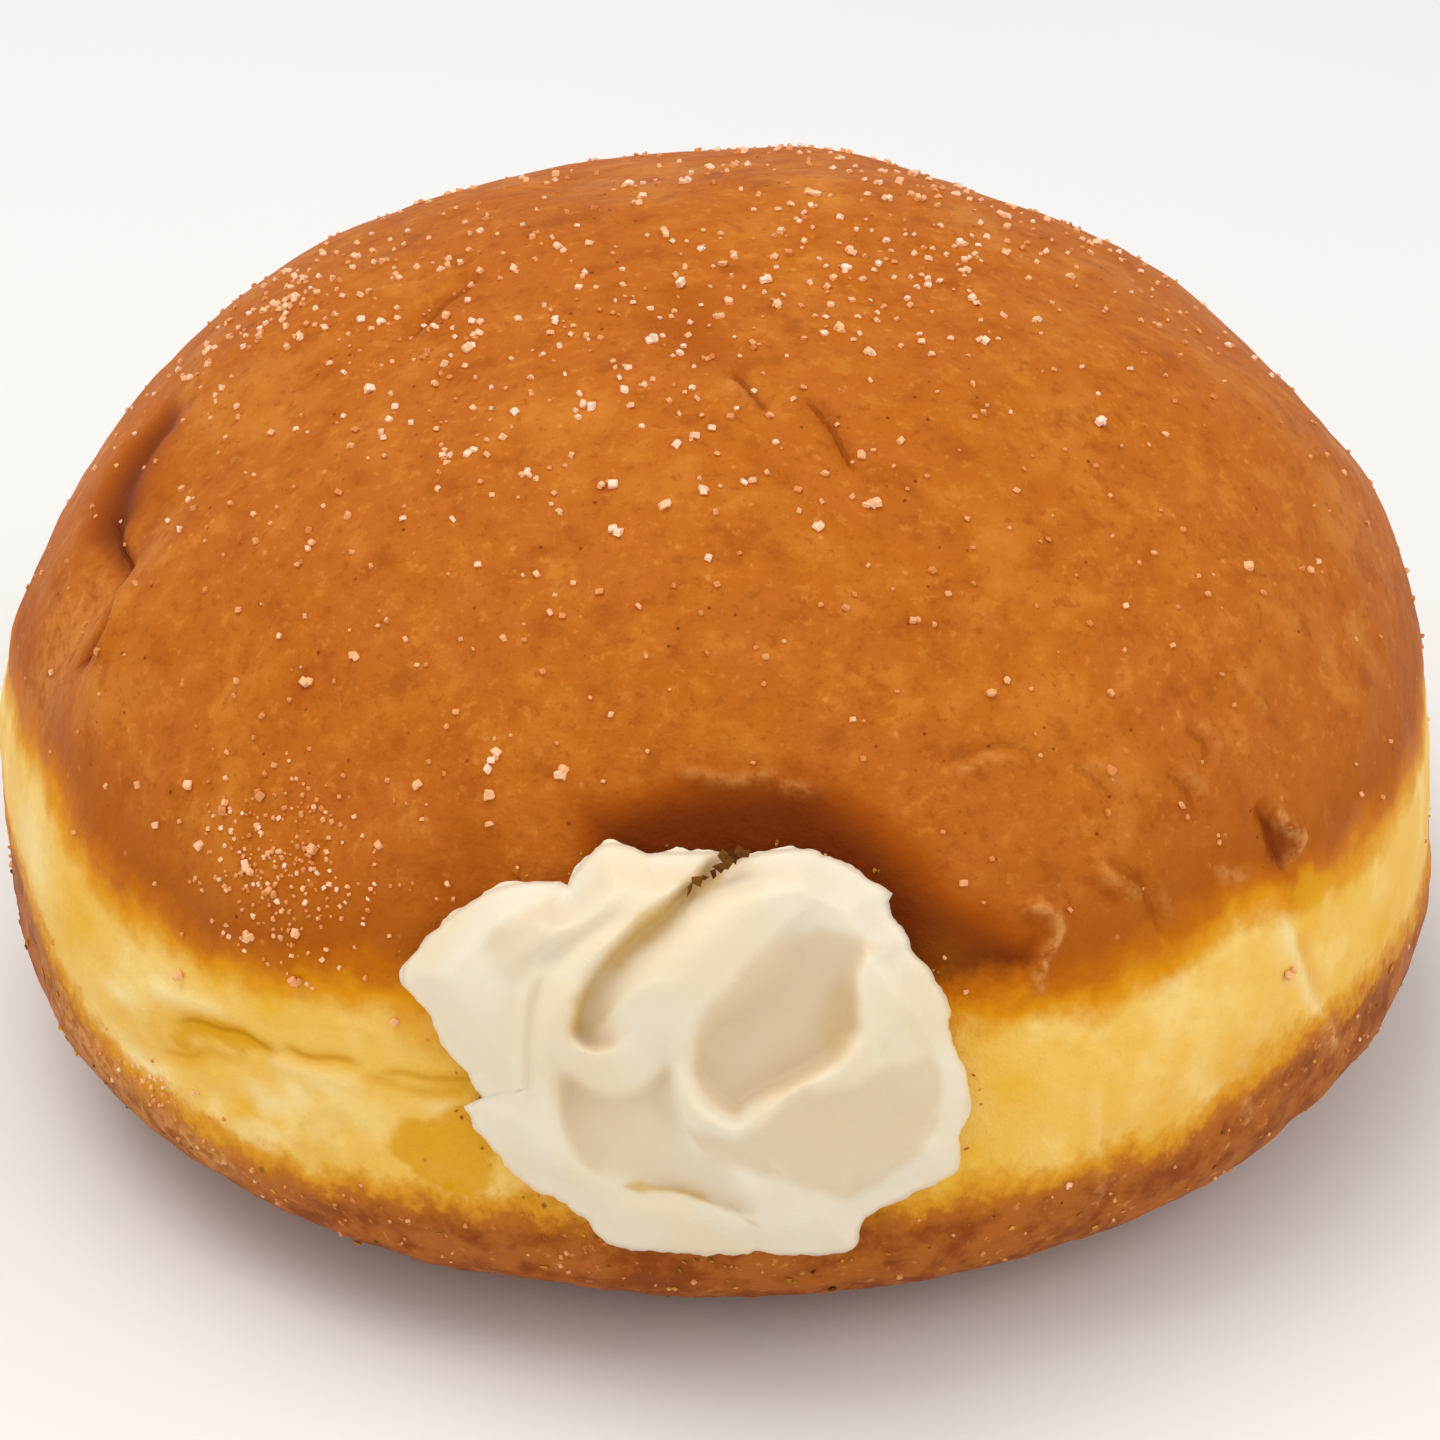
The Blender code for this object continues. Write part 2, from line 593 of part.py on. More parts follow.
def main():
    """Builds the doughnut."""
    clear_scene()
    crust = make_material("crust", CRUST_FINISH)
    filling = make_material("cream", CREAM_FINISH)
    bun = make_bun(crust)
    cutter = make_cutter(crust)
    apply_boolean(bun, "DIFFERENCE", "EXACT", cutter=cutter)
    bpy.data.objects.remove(cutter, do_unlink=True)
    grains = make_sugar(crust)
    apply_boolean(bun, "UNION", "MANIFOLD", collection=grains)
    remove_collection(grains)
    cream = make_cream(filling)
    finish(bun)
    finish(cream)


main()
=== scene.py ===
"""A cream-filled doughnut on a pale floor: its crust and pale band, its folded cream, sugar and crumbs.

Shapes are worked out in millimetres from the middle of the bun's widest plane, with +Z up and the
cream at -Y. They are put into metres and stood on the floor when they are made into meshes.
Azimuths are in degrees from the front, growing to the right, and latitudes are 90 at the top.
"""

import logging
import math
import random
from dataclasses import dataclass
from enum import Enum
from functools import cached_property

import bmesh
import bpy
import numpy as np
from mathutils import Matrix, Vector, noise

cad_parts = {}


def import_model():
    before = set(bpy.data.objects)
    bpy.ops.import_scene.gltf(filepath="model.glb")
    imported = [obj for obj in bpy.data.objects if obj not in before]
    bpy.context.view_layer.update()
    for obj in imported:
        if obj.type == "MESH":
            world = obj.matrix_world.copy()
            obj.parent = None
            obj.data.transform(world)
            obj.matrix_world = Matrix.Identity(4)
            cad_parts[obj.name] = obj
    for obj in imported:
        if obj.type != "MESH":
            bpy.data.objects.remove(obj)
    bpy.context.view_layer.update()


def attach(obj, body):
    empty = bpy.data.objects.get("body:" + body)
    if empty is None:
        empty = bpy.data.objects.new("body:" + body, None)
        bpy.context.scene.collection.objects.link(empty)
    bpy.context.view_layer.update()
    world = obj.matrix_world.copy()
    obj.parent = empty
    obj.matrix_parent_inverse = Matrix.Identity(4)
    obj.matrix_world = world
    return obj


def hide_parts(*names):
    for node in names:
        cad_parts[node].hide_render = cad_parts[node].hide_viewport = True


MM = 0.001
REST_HEIGHT = 15.2556

Array = np.ndarray
Piece = bpy.types.Object
Material = bpy.types.Material
Socket = bpy.types.NodeSocket
Input = Socket | float | tuple
Colour = tuple[float, float, float, float]
Spot = tuple[float, float]
Route = list[Spot] | tuple[Spot, ...]
Bit = tuple[Array, Array, float, float]

log = logging.getLogger("doughnut")


def paint(*levels: float) -> Colour:
    """Turns a colour as it looks on a screen into a linear one.

    Args:
        *levels: Red, green and blue, each from 0 to 255.

    Returns:
        The linear colour, with an alpha of 1.
    """
    shares = [level / 255.0 for level in levels]
    linear = [share / 12.92 if share < 0.0405 else ((share + 0.055) / 1.055) ** 2.4 for share in shares]
    return linear[0], linear[1], linear[2], 1.0


def smooth_step(value: Array) -> Array:
    """Goes from 0 to 1 with level ends."""
    value = np.clip(value, 0.0, 1.0)
    return value * value * (3.0 - 2.0 * value)


def bell(value: Array) -> Array:
    """Goes from 1 where the value is 0 to nothing on both sides."""
    return np.exp(-value ** 2)


def unit(vectors: Array) -> Array:
    """Rows of numbers, each as a vector of length 1."""
    return vectors / np.linalg.norm(vectors, axis=1)[:, None]


def direction(azimuth: float, latitude: float) -> Array:
    """Unit direction of an azimuth and a latitude, in degrees."""
    turn, rise = math.radians(azimuth), math.radians(latitude)
    return np.array([math.sin(turn) * math.cos(rise), -math.cos(turn) * math.cos(rise), math.sin(rise)])


def axes_at(azimuth: float, latitude: float) -> tuple[Array, Array, Array]:
    """Unit directions outwards, to the east and to the north at an azimuth and a latitude, in degrees."""
    out, east = direction(azimuth, latitude), direction(azimuth + 90.0, 0.0)
    return out, east, np.cross(out, east)


def curve_through(points: list, closed: bool = False, per_span: int = 8) -> Array:
    """Draws a smooth curve through points.

    Args:
        points: The points, of two or three numbers each.
        closed: Whether the curve comes back to its start.
        per_span: How many segments lie between two points.

    Returns:
        The curve's points in a row.
    """
    given = np.array(points, float)
    if closed:
        knots = np.vstack([given[-1:], given, given[:2]])
    else:
        knots = np.vstack([2 * given[0] - given[1], given, 2 * given[-1] - given[-2]])
    t = np.arange(per_span)[:, None] / per_span
    spans = []
    for a, b, c, d in zip(knots, knots[1:], knots[2:], knots[3:]):
        spans.append(b + 0.5 * t * (c - a + t * (2 * a - 5 * b + 4 * c - d + t * (3 * b - a - 3 * c + d))))
    spans.append(knots[-2:-1])
    return np.vstack(spans)


def measure_to(line: Array, spots: Array) -> tuple[Array, Array]:
    """Measures from spots to a line, on a plane or in space.

    Args:
        line: The line's points.
        spots: The spots to measure from.

    Returns:
        The distances, which are positive on the left of a line on a plane, and the share of the line
        at which each spot's nearest point lies.
    """
    starts, steps = line[:-1], np.diff(line, axis=0)
    lengths = np.maximum(np.linalg.norm(steps, axis=1), 1e-9)
    runs = np.concatenate([[0.0], np.cumsum(lengths)])
    nearest = np.full(len(spots), np.inf)
    side = np.ones(len(spots))
    place = np.zeros(len(spots))
    for start, step, length, run in zip(starts, steps, lengths, runs):
        offset = spots - start
        share = np.clip(offset @ step / length ** 2, 0.0, 1.0)
        distance = np.linalg.norm(offset - share[:, None] * step, axis=1)
        closer = distance < nearest
        nearest = np.where(closer, distance, nearest)
        if line.shape[1] == 2:
            side = np.where(closer, np.sign(step[0] * offset[:, 1] - step[1] * offset[:, 0]), side)
        place = np.where(closer, (run + share * length) / runs[-1], place)
    return nearest * side, place


def depth_inside(outline: Route, spots: Array) -> Array:
    """Measures how far spots lie inside a smooth closed outline on a plane.

    Args:
        outline: Points that the outline passes through.
        spots: The spots to measure from.

    Returns:
        The distances to the outline, which are below 0 outside it.
    """
    line = curve_through(outline, closed=True)
    inside = np.zeros(len(spots), bool)
    for (start_x, start_y), (end_x, end_y) in zip(line[:-1], line[1:]):
        passes = (start_y > spots[:, 1]) != (end_y > spots[:, 1])
        rise = end_y - start_y if abs(end_y - start_y) > 1e-9 else 1e-9
        meets = start_x + (spots[:, 1] - start_y) / rise * (end_x - start_x)
        inside ^= passes & (spots[:, 0] < meets)
    return np.abs(measure_to(line, spots)[0]) * np.where(inside, 1.0, -1.0)


def close_to(route: Route, margin: float, spots: Array) -> Array:
    """Numbers of the spots that lie in the box of a route, or within a margin round it."""
    low, high = np.min(route, axis=0) - margin, np.max(route, axis=0) + margin
    return np.flatnonzero(np.all((spots > low) & (spots < high), axis=1))


def round_line(line: Array, margin: float, places: Array) -> Array:
    """Finds the places round a line.

    Args:
        line: The line's points in space.
        margin: How far beyond the line's ends the places still count.
        places: The places, in millimetres.

    Returns:
        The numbers of those that lie in the ball round the line.
    """
    middle = line.mean(axis=0)
    reach = np.linalg.norm(line - middle, axis=1).max() + margin
    return np.flatnonzero(np.linalg.norm(places - middle, axis=1) < reach)


def fade_ends(place: Array, ends: Spot) -> Array:
    """Goes from 0 to 1 and back to 0 over the two ends of a route."""
    return smooth_step(place / ends[0]) * smooth_step((1.0 - place) / ends[1])


@dataclass(frozen=True)
class Waves:
    """Fractal unevenness of a height and a size, shifted so that two of one size differ."""

    height: float
    size: float
    octaves: int = 3
    shift: float = 0.0

    def at(self, places: Array) -> Array:
        """Height of the waves at places, mostly within 0.6 of their own height."""
        spots = (places / self.size + self.shift).tolist()
        return self.height * np.array([noise.fractal(spot, 1.0, 2.0, self.octaves) for spot in spots])


def make_mesh(name: str, corners: Array, faces: list, materials: list) -> Piece:
    """Makes an object from corners in millimetres, and stands it on the floor.

    Args:
        name: Name of the piece.
        corners: Corners, from the middle of the bun's widest plane.
        faces: Corner numbers of each face.
        materials: Materials of the piece.

    Returns:
        The new object, in metres.
    """
    mesh = bpy.data.meshes.new(name)
    placed = (np.asarray(corners) + (0.0, 0.0, REST_HEIGHT)) * MM
    mesh.from_pydata(placed.tolist(), [], faces)
    for material in materials:
        mesh.materials.append(material)
    mesh.shade_smooth()
    piece = bpy.data.objects.new(name, mesh)
    bpy.context.scene.collection.objects.link(piece)
    return piece


def store(piece: Piece, name: str, values: Array) -> None:
    """Keeps one number for each corner of a piece, for its material."""
    piece.data.attributes.new(name, "FLOAT", "POINT").data.foreach_set("value", values.astype(np.float32))


def join_bits(name: str, bits: list[tuple], material: Material, number: str) -> Piece:
    """Joins small closed bits into one piece with flat faces.

    Args:
        name: Name of the piece.
        bits: Corners, faces and one number of each bit.
        material: Material of the piece.
        number: Name of that number, which each corner of the bit keeps.

    Returns:
        The piece.
    """
    corners, faces, numbers = [], [], []
    total = 0
    for bit_corners, bit_faces, value in bits:
        corners.append(bit_corners)
        faces += [[corner + total for corner in face] for face in bit_faces]
        numbers.append(np.full(len(bit_corners), value))
        total += len(bit_corners)
    piece = make_mesh(name, np.vstack(corners), faces, [material])
    piece.data.shade_flat()
    store(piece, number, np.concatenate(numbers))
    return piece


def corners_of(piece: Piece) -> Array:
    """Reads the corners of a piece.

    Args:
        piece: The piece.

    Returns:
        Its corners in millimetres, from the middle of the bun's widest plane.
    """
    flat = np.zeros(len(piece.data.vertices) * 3)
    piece.data.vertices.foreach_get("co", flat)
    return flat.reshape(-1, 3) / MM - (0.0, 0.0, REST_HEIGHT)


@dataclass(frozen=True)
class Mottle:
    """Noise in a material, with the size of its largest features in millimetres."""

    size: float
    detail: float = 2.0
    roughness: float = 0.5


@dataclass(frozen=True)
class Coat:
    """A colour that covers what is under it as some number goes from one value to another."""

    colour: Colour
    starts: float
    full: float
    strength: float = 1.0


class Recipe:
    """Nodes of one material, made and joined in short calls."""

    def __init__(self, name: str) -> None:
        """Starts a material whose shader is still plain.

        Args:
            name: Name of the material.
        """
        self.material = bpy.data.materials.new(name)
        self.material.use_nodes = True
        self.tree = self.material.node_tree
        self.shader = self.tree.nodes["Principled BSDF"]
        self.place = self.tree.nodes.new("ShaderNodeTexCoord").outputs["Object"]

    def put(self, target: Socket, value: Input) -> None:
        """Joins a socket to another one, or sets it.

        Args:
            target: The socket to fill.
            value: Another socket, a number or a colour.
        """
        if isinstance(value, Socket):
            self.tree.links.new(value, target)
        else:
            target.default_value = value

    def finish(self, **sockets: Input) -> Material:
        """Sets the shader's sockets and gives the material.

        Args:
            **sockets: Sockets of the shader, with underscores for the spaces in their names.

        Returns:
            The finished material.
        """
        for name, value in sockets.items():
            self.put(self.shader.inputs[name.replace("_", " ")], value)
        return self.material

    def node(self, kind: str, output: str | int, inputs: dict, **settings: str) -> Socket:
        """Adds a node.

        Args:
            kind: Its type, without the "ShaderNode" before it.
            output: The output that is wanted.
            inputs: What goes into its inputs.
            **settings: Its other settings.

        Returns:
            The output.
        """
        node = self.tree.nodes.new("ShaderNode" + kind)
        for name, value in settings.items():
            setattr(node, name, value)
        for name, value in inputs.items():
            self.put(node.inputs[name], value)
        return node.outputs[output]

    def attribute(self, name: str) -> Socket:
        """The number that each corner keeps under a name."""
        return self.node("Attribute", "Fac", {}, attribute_name=name)

    def noise(self, mottle: Mottle) -> Socket:
        """Noise about 0.5."""
        inputs = {"Scale": 1.0 / (mottle.size * MM), "Detail": mottle.detail, "Roughness": mottle.roughness}
        return self.node("TexNoise", "Fac", inputs | {"Vector": self.place})

    def cells(self, size: float) -> Socket:
        """Distance to the nearest of scattered points that are a size apart, in millimetres."""
        return self.node("TexVoronoi", "Distance", {"Scale": 1.0 / (size * MM), "Vector": self.place})

    def sum(self, operation: str, *numbers: Socket | float) -> Socket:
        """Result of one of Blender's maths operations on two or three numbers."""
        return self.node("Math", "Value", dict(enumerate(numbers)), operation=operation)

    def span(self, value: Socket, low: float, high: float, least: float = 0.0, most: float = 1.0) -> Socket:
        """A number that goes smoothly from least to most as a value goes from low to high."""
        inputs = {"Value": value, "From Min": low, "From Max": high, "To Min": least, "To Max": most}
        return self.node("MapRange", "Result", inputs, interpolation_type="SMOOTHSTEP")

    def mix(self, share: Socket | float, first: Socket | tuple, second: Socket | tuple) -> Socket:
        """Two colours mixed, with a share of the second one."""
        return self.node("Mix", 2, {0: share, 6: first, 7: second}, data_type="RGBA")

    def bump(self, height: Socket, depth: float) -> Socket:
        """Bumped normal of a height from 0 to 1, with its depth in millimetres."""
        return self.node("Bump", "Normal", {"Distance": depth * MM, "Height": height})

    def coat(self, under: Socket | tuple, value: Socket, *coats: Coat) -> Socket:
        """Lays coats over a colour.

        Args:
            under: The colour below them.
            value: The number that they follow.
            *coats: The coats, the lowest first.

        Returns:
            The colour with the coats on it.
        """
        for coat in coats:
            share = self.span(value, coat.starts, coat.full, 0.0, coat.strength)
            under = self.mix(share, under, coat.colour)
        return under


@dataclass(frozen=True)
class CrustFinish:
    """Colours of the bun: brown crust above and below, and the pale band between."""

    broad: Mottle = Mottle(8.0, 3.0, 0.6)
    middling: Mottle = Mottle(2.6, 4.0, 0.62)
    fine: Mottle = Mottle(0.8, 3.0, 0.65)
    # how far the edges of the band fray, in millimetres
    fray: float = 3.2
    lower_fray: float = 2.2
    # the upper crust
    crust: Colour = paint(187, 101, 20)
    crust_dark: Colour = paint(164, 82, 14)
    crust_light: Colour = paint(207, 127, 42)
    rosy_patches: Coat = Coat(paint(188, 101, 29), 0.45, 0.65)
    light_patches: Coat = Coat(crust_light, 0.5, 0.3, 0.6)
    dark_blotches: Coat = Coat(crust_dark, 0.52, 0.7, 0.7)
    light_blotches: Coat = Coat(crust_light, 0.48, 0.3, 0.6)
    light_specks: Coat = Coat(crust_light, 0.56, 0.7, 0.6)
    dark_specks: Coat = Coat(crust_dark, 0.44, 0.3, 0.6)
    # darker crust beside the band, partly painted shade where the crust turns downward
    darker_and_shaded_beside_band: Coat = Coat(paint(168, 84, 4), 8.0, 1.5, 0.85)
    # darkening colours: darker crust, and painted shade in the creases, the left fold and the hollow round
    # the cream's mouth
    dark_toast_and_shade: Colour = paint(108, 40, 0)
    singe_and_shade: Coat = Coat(paint(162, 76, 0), 0.0, 0.5, 0.95)
    toast_and_shade: Coat = Coat(dark_toast_and_shade, 0.3, 1.0)
    # painted shade: small dark pits in the crust
    dots: float = 1.3
    pits: Spot = (0.12, 0.05)
    pitted: tuple = (0.5, 0.56, 0.0, 0.8)
    fleck: Colour = paint(226, 152, 76)
    flecks: Spot = (0.18, 0.06)
    flecked: tuple = (0.48, 0.42, 0.0, 0.5)
    # the band
    band: Colour = paint(242, 194, 90)
    band_golden: Colour = paint(236, 180, 46)
    band_patches: Mottle = Mottle(6.5, 3.0, 0.58)
    light_band: Coat = Coat(paint(249, 218, 136), 0.48, 0.74)
    golden_band: Coat = Coat(band_golden, 0.5, 0.26)
    band_specks: Coat = Coat(band_golden, 0.45, 0.3, 0.25)
    # its edges, by the height over the upper one and the depth under the lower one
    golden: Colour = paint(224, 148, 6)
    golden_edge: Coat = Coat(golden, -2.2, -0.2)
    amber_edge: Coat = Coat(paint(196, 108, 0), -0.6, 1.1)
    crust_edge: Spot = (0.7, 2.7)
    honey_edge: Coat = Coat(paint(222, 154, 36), -1.8, 0.1)
    tan_edge: Coat = Coat(paint(194, 116, 28), -0.2, 1.1)
    lower_edge: Spot = (0.3, 2.1)
    # the lower crust
    lower_dark: Colour = paint(142, 68, 16)
    lower_light: Coat = Coat(paint(178, 100, 34), 0.35, 0.6)
    lower_flecks: Coat = Coat(fleck, 0.6, 0.72, 0.6)
    # marks in the crust and the band
    olive: Colour = paint(222, 158, 0)
    pale: Colour = paint(252, 230, 168)
    ridge: Colour = paint(236, 172, 96)
    ridge_grain: tuple = (0.36, 0.6, 0.15, 1.3)
    # painted shade: colour of the thin dark crease lines in the band; in the crust they take the darkest
    # brown
    tear: Colour = paint(184, 124, 0)
    line_edge: Spot = (1.0, 0.2)
    crusty: Spot = (0.0, 1.5)
    # grain and shine
    leather: Mottle = Mottle(2.2)
    pores: Mottle = Mottle(0.9, 4.0, 0.66)
    upper_leather: Spot = (0.0, 2.5)
    lower_leather: Spot = (0.0, 2.0)
    grain_depth: float = 0.2
    roughness: tuple = (0.3, 0.7, 0.48, 0.64)

    def make(self) -> Material:
        """Makes the material of the bun's outside.

        Returns:
            The material.
        """
        recipe = Recipe("bun_crust")
        broad, middling, fine = [recipe.noise(mottle) for mottle in (self.broad, self.middling, self.fine)]
        ragged = recipe.sum("MULTIPLY_ADD", middling, self.fray, -0.5 * self.fray)
        above = recipe.sum("ADD", recipe.attribute("above"), ragged)
        fringe = recipe.sum("MULTIPLY_ADD", fine, self.lower_fray, -0.5 * self.lower_fray)
        below = recipe.sum("ADD", recipe.attribute("below"), recipe.sum("ADD", ragged, fringe))
        top = self.top_colour(recipe, above, (broad, middling, fine))
        lower = self.lower_colour(recipe, middling, fine)
        colour = recipe.mix(recipe.attribute("pale"), self.band_colour(recipe, fine), self.pale)
        colour = recipe.coat(colour, above, self.golden_edge, self.amber_edge)
        colour = recipe.mix(recipe.span(above, *self.crust_edge), colour, top)
        colour = recipe.coat(colour, below, self.honey_edge, self.tan_edge)
        colour = recipe.mix(recipe.span(below, *self.lower_edge), colour, lower)
        colour = recipe.mix(recipe.attribute("gold"), colour, self.golden)
        colour = recipe.mix(recipe.attribute("olive"), colour, self.olive)
        crusty = recipe.sum("MAXIMUM", recipe.span(above, *self.crusty), recipe.span(below, *self.crusty))
        ridges = recipe.sum("MULTIPLY", recipe.attribute("pale"), recipe.span(fine, *self.ridge_grain))
        colour = recipe.mix(recipe.sum("MULTIPLY", ridges, crusty), colour, self.ridge)
        # painted shade: thin dark lines along the middles of the sharp creases
        colour = recipe.mix(self.lines(recipe), colour, recipe.mix(crusty, self.tear, self.dark_toast_and_shade))
        return recipe.finish(
            Base_Color=colour,
            Roughness=recipe.span(broad, *self.roughness),
            Specular_IOR_Level=0.08,
            Normal=self.grain(recipe, above, below),
        )

    def lines(self, recipe: Recipe) -> Socket:
        """Painted shade: the thin dark middles of the creases."""
        aside = recipe.sum("ABSOLUTE", recipe.attribute("aside"), 0.0)
        return recipe.sum("MULTIPLY", recipe.span(aside, *self.line_edge), recipe.attribute("sharp"))

    def grain(self, recipe: Recipe, above: Socket, below: Socket) -> Socket:
        """Fine grain everywhere; soft leathery lumps and the creases' lines in the crust.

        Args:
            recipe: The material.
            above: Height over the band's upper edge, in millimetres.
            below: Depth under its lower edge, in millimetres.

        Returns:
            The bumped normal.
        """
        crusty = recipe.sum("MAXIMUM", recipe.span(above, *self.upper_leather),
                            recipe.span(below, *self.lower_leather))
        rise = recipe.sum("SUBTRACT", recipe.noise(self.leather), self.lines(recipe))
        height = recipe.sum("MULTIPLY_ADD", rise, crusty, recipe.noise(self.pores))
        return recipe.bump(height, self.grain_depth)

    def top_colour(self, recipe: Recipe, above: Socket, noises: tuple[Socket, Socket, Socket]) -> Socket:
        """Mottled brown with pits and flecks; darker beside the band, partly painted shade where the crust
        turns down; and darker under the darkening mark, which is darker crust and painted shade in creases,
        the left fold and the hollow round the cream's mouth.

        Args:
            recipe: The material.
            above: Height over the band's upper edge, in millimetres.
            noises: Broad, middling and fine noise.

        Returns:
            The colour of the upper crust.
        """
        broad, middling, fine = noises
        colour = recipe.coat(self.crust, broad, self.rosy_patches, self.light_patches)
        colour = recipe.coat(colour, middling, self.dark_blotches, self.light_blotches)
        colour = recipe.coat(colour, fine, self.light_specks, self.dark_specks)
        colour = recipe.coat(colour, above, self.darker_and_shaded_beside_band)
        dots = recipe.cells(self.dots)
        for sizes, places, spot_colour in ((self.pits, self.pitted, self.dark_toast_and_shade),
                                           (self.flecks, self.flecked, self.fleck)):
            spots = recipe.sum("MULTIPLY", recipe.span(dots, *sizes), recipe.span(middling, *places))
            colour = recipe.mix(spots, colour, spot_colour)
        # the darkening mark: darker crust, with painted shade in the creases, the left fold and the hollow
        # round the cream's mouth
        return recipe.coat(colour, recipe.attribute("toast_and_shade"), self.singe_and_shade, self.toast_and_shade)

    def band_colour(self, recipe: Recipe, fine: Socket) -> Socket:
        """Pale yellow crumb, with lighter and more golden patches."""
        colour = recipe.coat(self.band, recipe.noise(self.band_patches), self.light_band, self.golden_band)
        return recipe.coat(colour, fine, self.band_specks)

    def lower_colour(self, recipe: Recipe, middling: Socket, fine: Socket) -> Socket:
        """Reddish brown with golden flecks."""
        colour = recipe.coat(self.lower_dark, middling, self.lower_light)
        return recipe.coat(colour, fine, self.lower_flecks)


@dataclass(frozen=True)
class CrumbFinish:
    """Pale crumb inside the bun, which shows only if the cream is taken out."""

    # painted shade: the crumb is darker in its pores
    shade: Colour = paint(222, 184, 112)
    crumb: Coat = Coat(paint(240, 212, 150), 0.1, 0.5)
    pore_size: float = 1.3
    pore_depth: float = 0.3

    def make(self) -> Material:
        """Makes the material of the cavity.

        Returns:
            The material.
        """
        recipe = Recipe("bun_crumb")
        pores = recipe.cells(self.pore_size)
        return recipe.finish(
            Base_Color=recipe.coat(self.shade, pores, self.crumb),
            Roughness=0.8,
            Normal=recipe.bump(pores, self.pore_depth),
        )


@dataclass(frozen=True)
class CreamFinish:
    """Ivory cream, with painted shade in tan and ochre in its hollows, groove and creases, and a brown seam
    at the top of its groove.
    """

    clouds: Mottle = Mottle(7.0, 3.0)
    cream: Colour = paint(238, 228, 207)
    warm: Coat = Coat(paint(236, 220, 188), 0.35, 0.65)
    # painted shade: tan in the hollows and troughs
    tan: Colour = paint(218, 196, 160)
    # painted shade: ochre in the groove under the crest, by the hollow's right wall and in the bottom crease
    ochre: Colour = paint(212, 172, 88)
    seam: Colour = paint(140, 104, 66)
    roughness: tuple = (0.3, 0.7, 0.38, 0.5)
    fine_lumps: Mottle = Mottle(0.5)
    soft_lumps: Mottle = Mottle(1.8)
    lump_depth: float = 0.035

    def make(self) -> Material:
        """Makes the material of the cream.

        Returns:
            The material.
        """
        recipe = Recipe("cream")
        tone = recipe.noise(self.clouds)
        colour = recipe.coat(self.cream, tone, self.warm)
        colour = recipe.mix(recipe.attribute("tan"), colour, self.tan)
        colour = recipe.mix(recipe.attribute("ochre"), colour, self.ochre)
        colour = recipe.mix(recipe.attribute("seam"), colour, self.seam)
        height = recipe.sum("ADD", recipe.noise(self.fine_lumps), recipe.noise(self.soft_lumps))
        return recipe.finish(
            Base_Color=colour,
            Roughness=recipe.span(tone, *self.roughness),
            Specular_IOR_Level=0.4,
            Subsurface_Weight=0.3,
            Subsurface_Radius=(1.0, 0.75, 0.45),
            Subsurface_Scale=0.6 * MM,
            Normal=recipe.bump(height, self.lump_depth),
        )


@dataclass(frozen=True)
class SugarFinish:
    """Sugar grains, pale or tinted by the crust's fat."""

    pale: Colour = paint(254, 222, 192)
    peach: Coat = Coat(paint(244, 184, 128), 0.0, 0.5)
    amber: Coat = Coat(paint(216, 132, 60), 0.5, 1.0)
    frost: Mottle = Mottle(0.2)
    frost_depth: float = 0.02

    def make(self) -> Material:
        """Makes the material of the sugar; each grain keeps its own tint.

        Returns:
            The material.
        """
        recipe = Recipe("sugar")
        return recipe.finish(
            Base_Color=recipe.coat(self.pale, recipe.attribute("tint"), self.peach, self.amber),
            Roughness=0.25,
            Specular_IOR_Level=0.3,
            Normal=recipe.bump(recipe.noise(self.frost), self.frost_depth),
        )


@dataclass(frozen=True)
class FloorFinish:
    """Plain pale floor."""

    colour: Colour = paint(240, 240, 240)
    shade: Colour = paint(237, 237, 236)
    clouds: Mottle = Mottle(60.0)

    def make(self) -> Material:
        """Makes the material of the floor.

        Returns:
            The material.
        """
        recipe = Recipe("floor")
        cloudy = recipe.mix(recipe.noise(self.clouds), self.colour, self.shade)
        return recipe.finish(Base_Color=cloudy, Roughness=0.9)


class Mark(Enum):
    """What a mark in the crust does to its colour; the darkening one is darker crust and painted shade in
    creases, the left fold and the hollow round the cream's mouth.
    """

    PLAIN = "plain"
    TOAST_AND_SHADE = "toast_and_shade"
    GOLD = "gold"
    OLIVE = "olive"
    PALE = "pale"


@dataclass(frozen=True)
class Crease:
    """A narrow groove or, where its depth is negative, a ridge in the crust.

    A sharp one also has a thin dark line of painted shade along its middle. A crease with the darkening mark
    is darker crust and painted shade in its groove.
    """

    route: Route
    depth: float
    width: float
    mark: Mark = Mark.PLAIN
    strength: float = 0.5
    sharp: float = 0.0


@dataclass(frozen=True)
class Stain:
    """A soft patch of colour on the crust or the band."""

    azimuth: float
    latitude: float
    radii: Spot
    mark: Mark
    strength: float


class Tone(Enum):
    """Colours that parts of the cream take on: tan and ochre are painted shade, and the seam is brown at the
    top of the groove.
    """

    TAN = "tan"
    PAINTED_OCHRE_SHADE = "ochre"
    SEAM = "seam"


@dataclass(frozen=True)
class Area:
    """A part of the crust or the cream that takes on a colour, with a soft edge.

    Its outline is in degrees of azimuth and latitude, or in millimetres on the leaning plane.
    """

    outline: Route
    colour: Mark | Tone
    strength: float
    edge: float = 0.9

    def share(self, spots: Array, wavy: Array, grown: float) -> Array:
        """Works out how much of the colour each spot takes on.

        Args:
            spots: The spots, in the outline's units.
            wavy: How far the outline is pushed out at each spot.
            grown: How far it is pushed out everywhere, as a share of the edge.

        Returns:
            Shares from 0 to the area's strength.
        """
        near = close_to(self.outline, 2.0 * self.edge + 2.0, spots)
        share = np.zeros(len(spots))
        depth = depth_inside(self.outline, spots[near]) + wavy[near]
        share[near] = self.strength * smooth_step(depth / self.edge + grown)
        return share


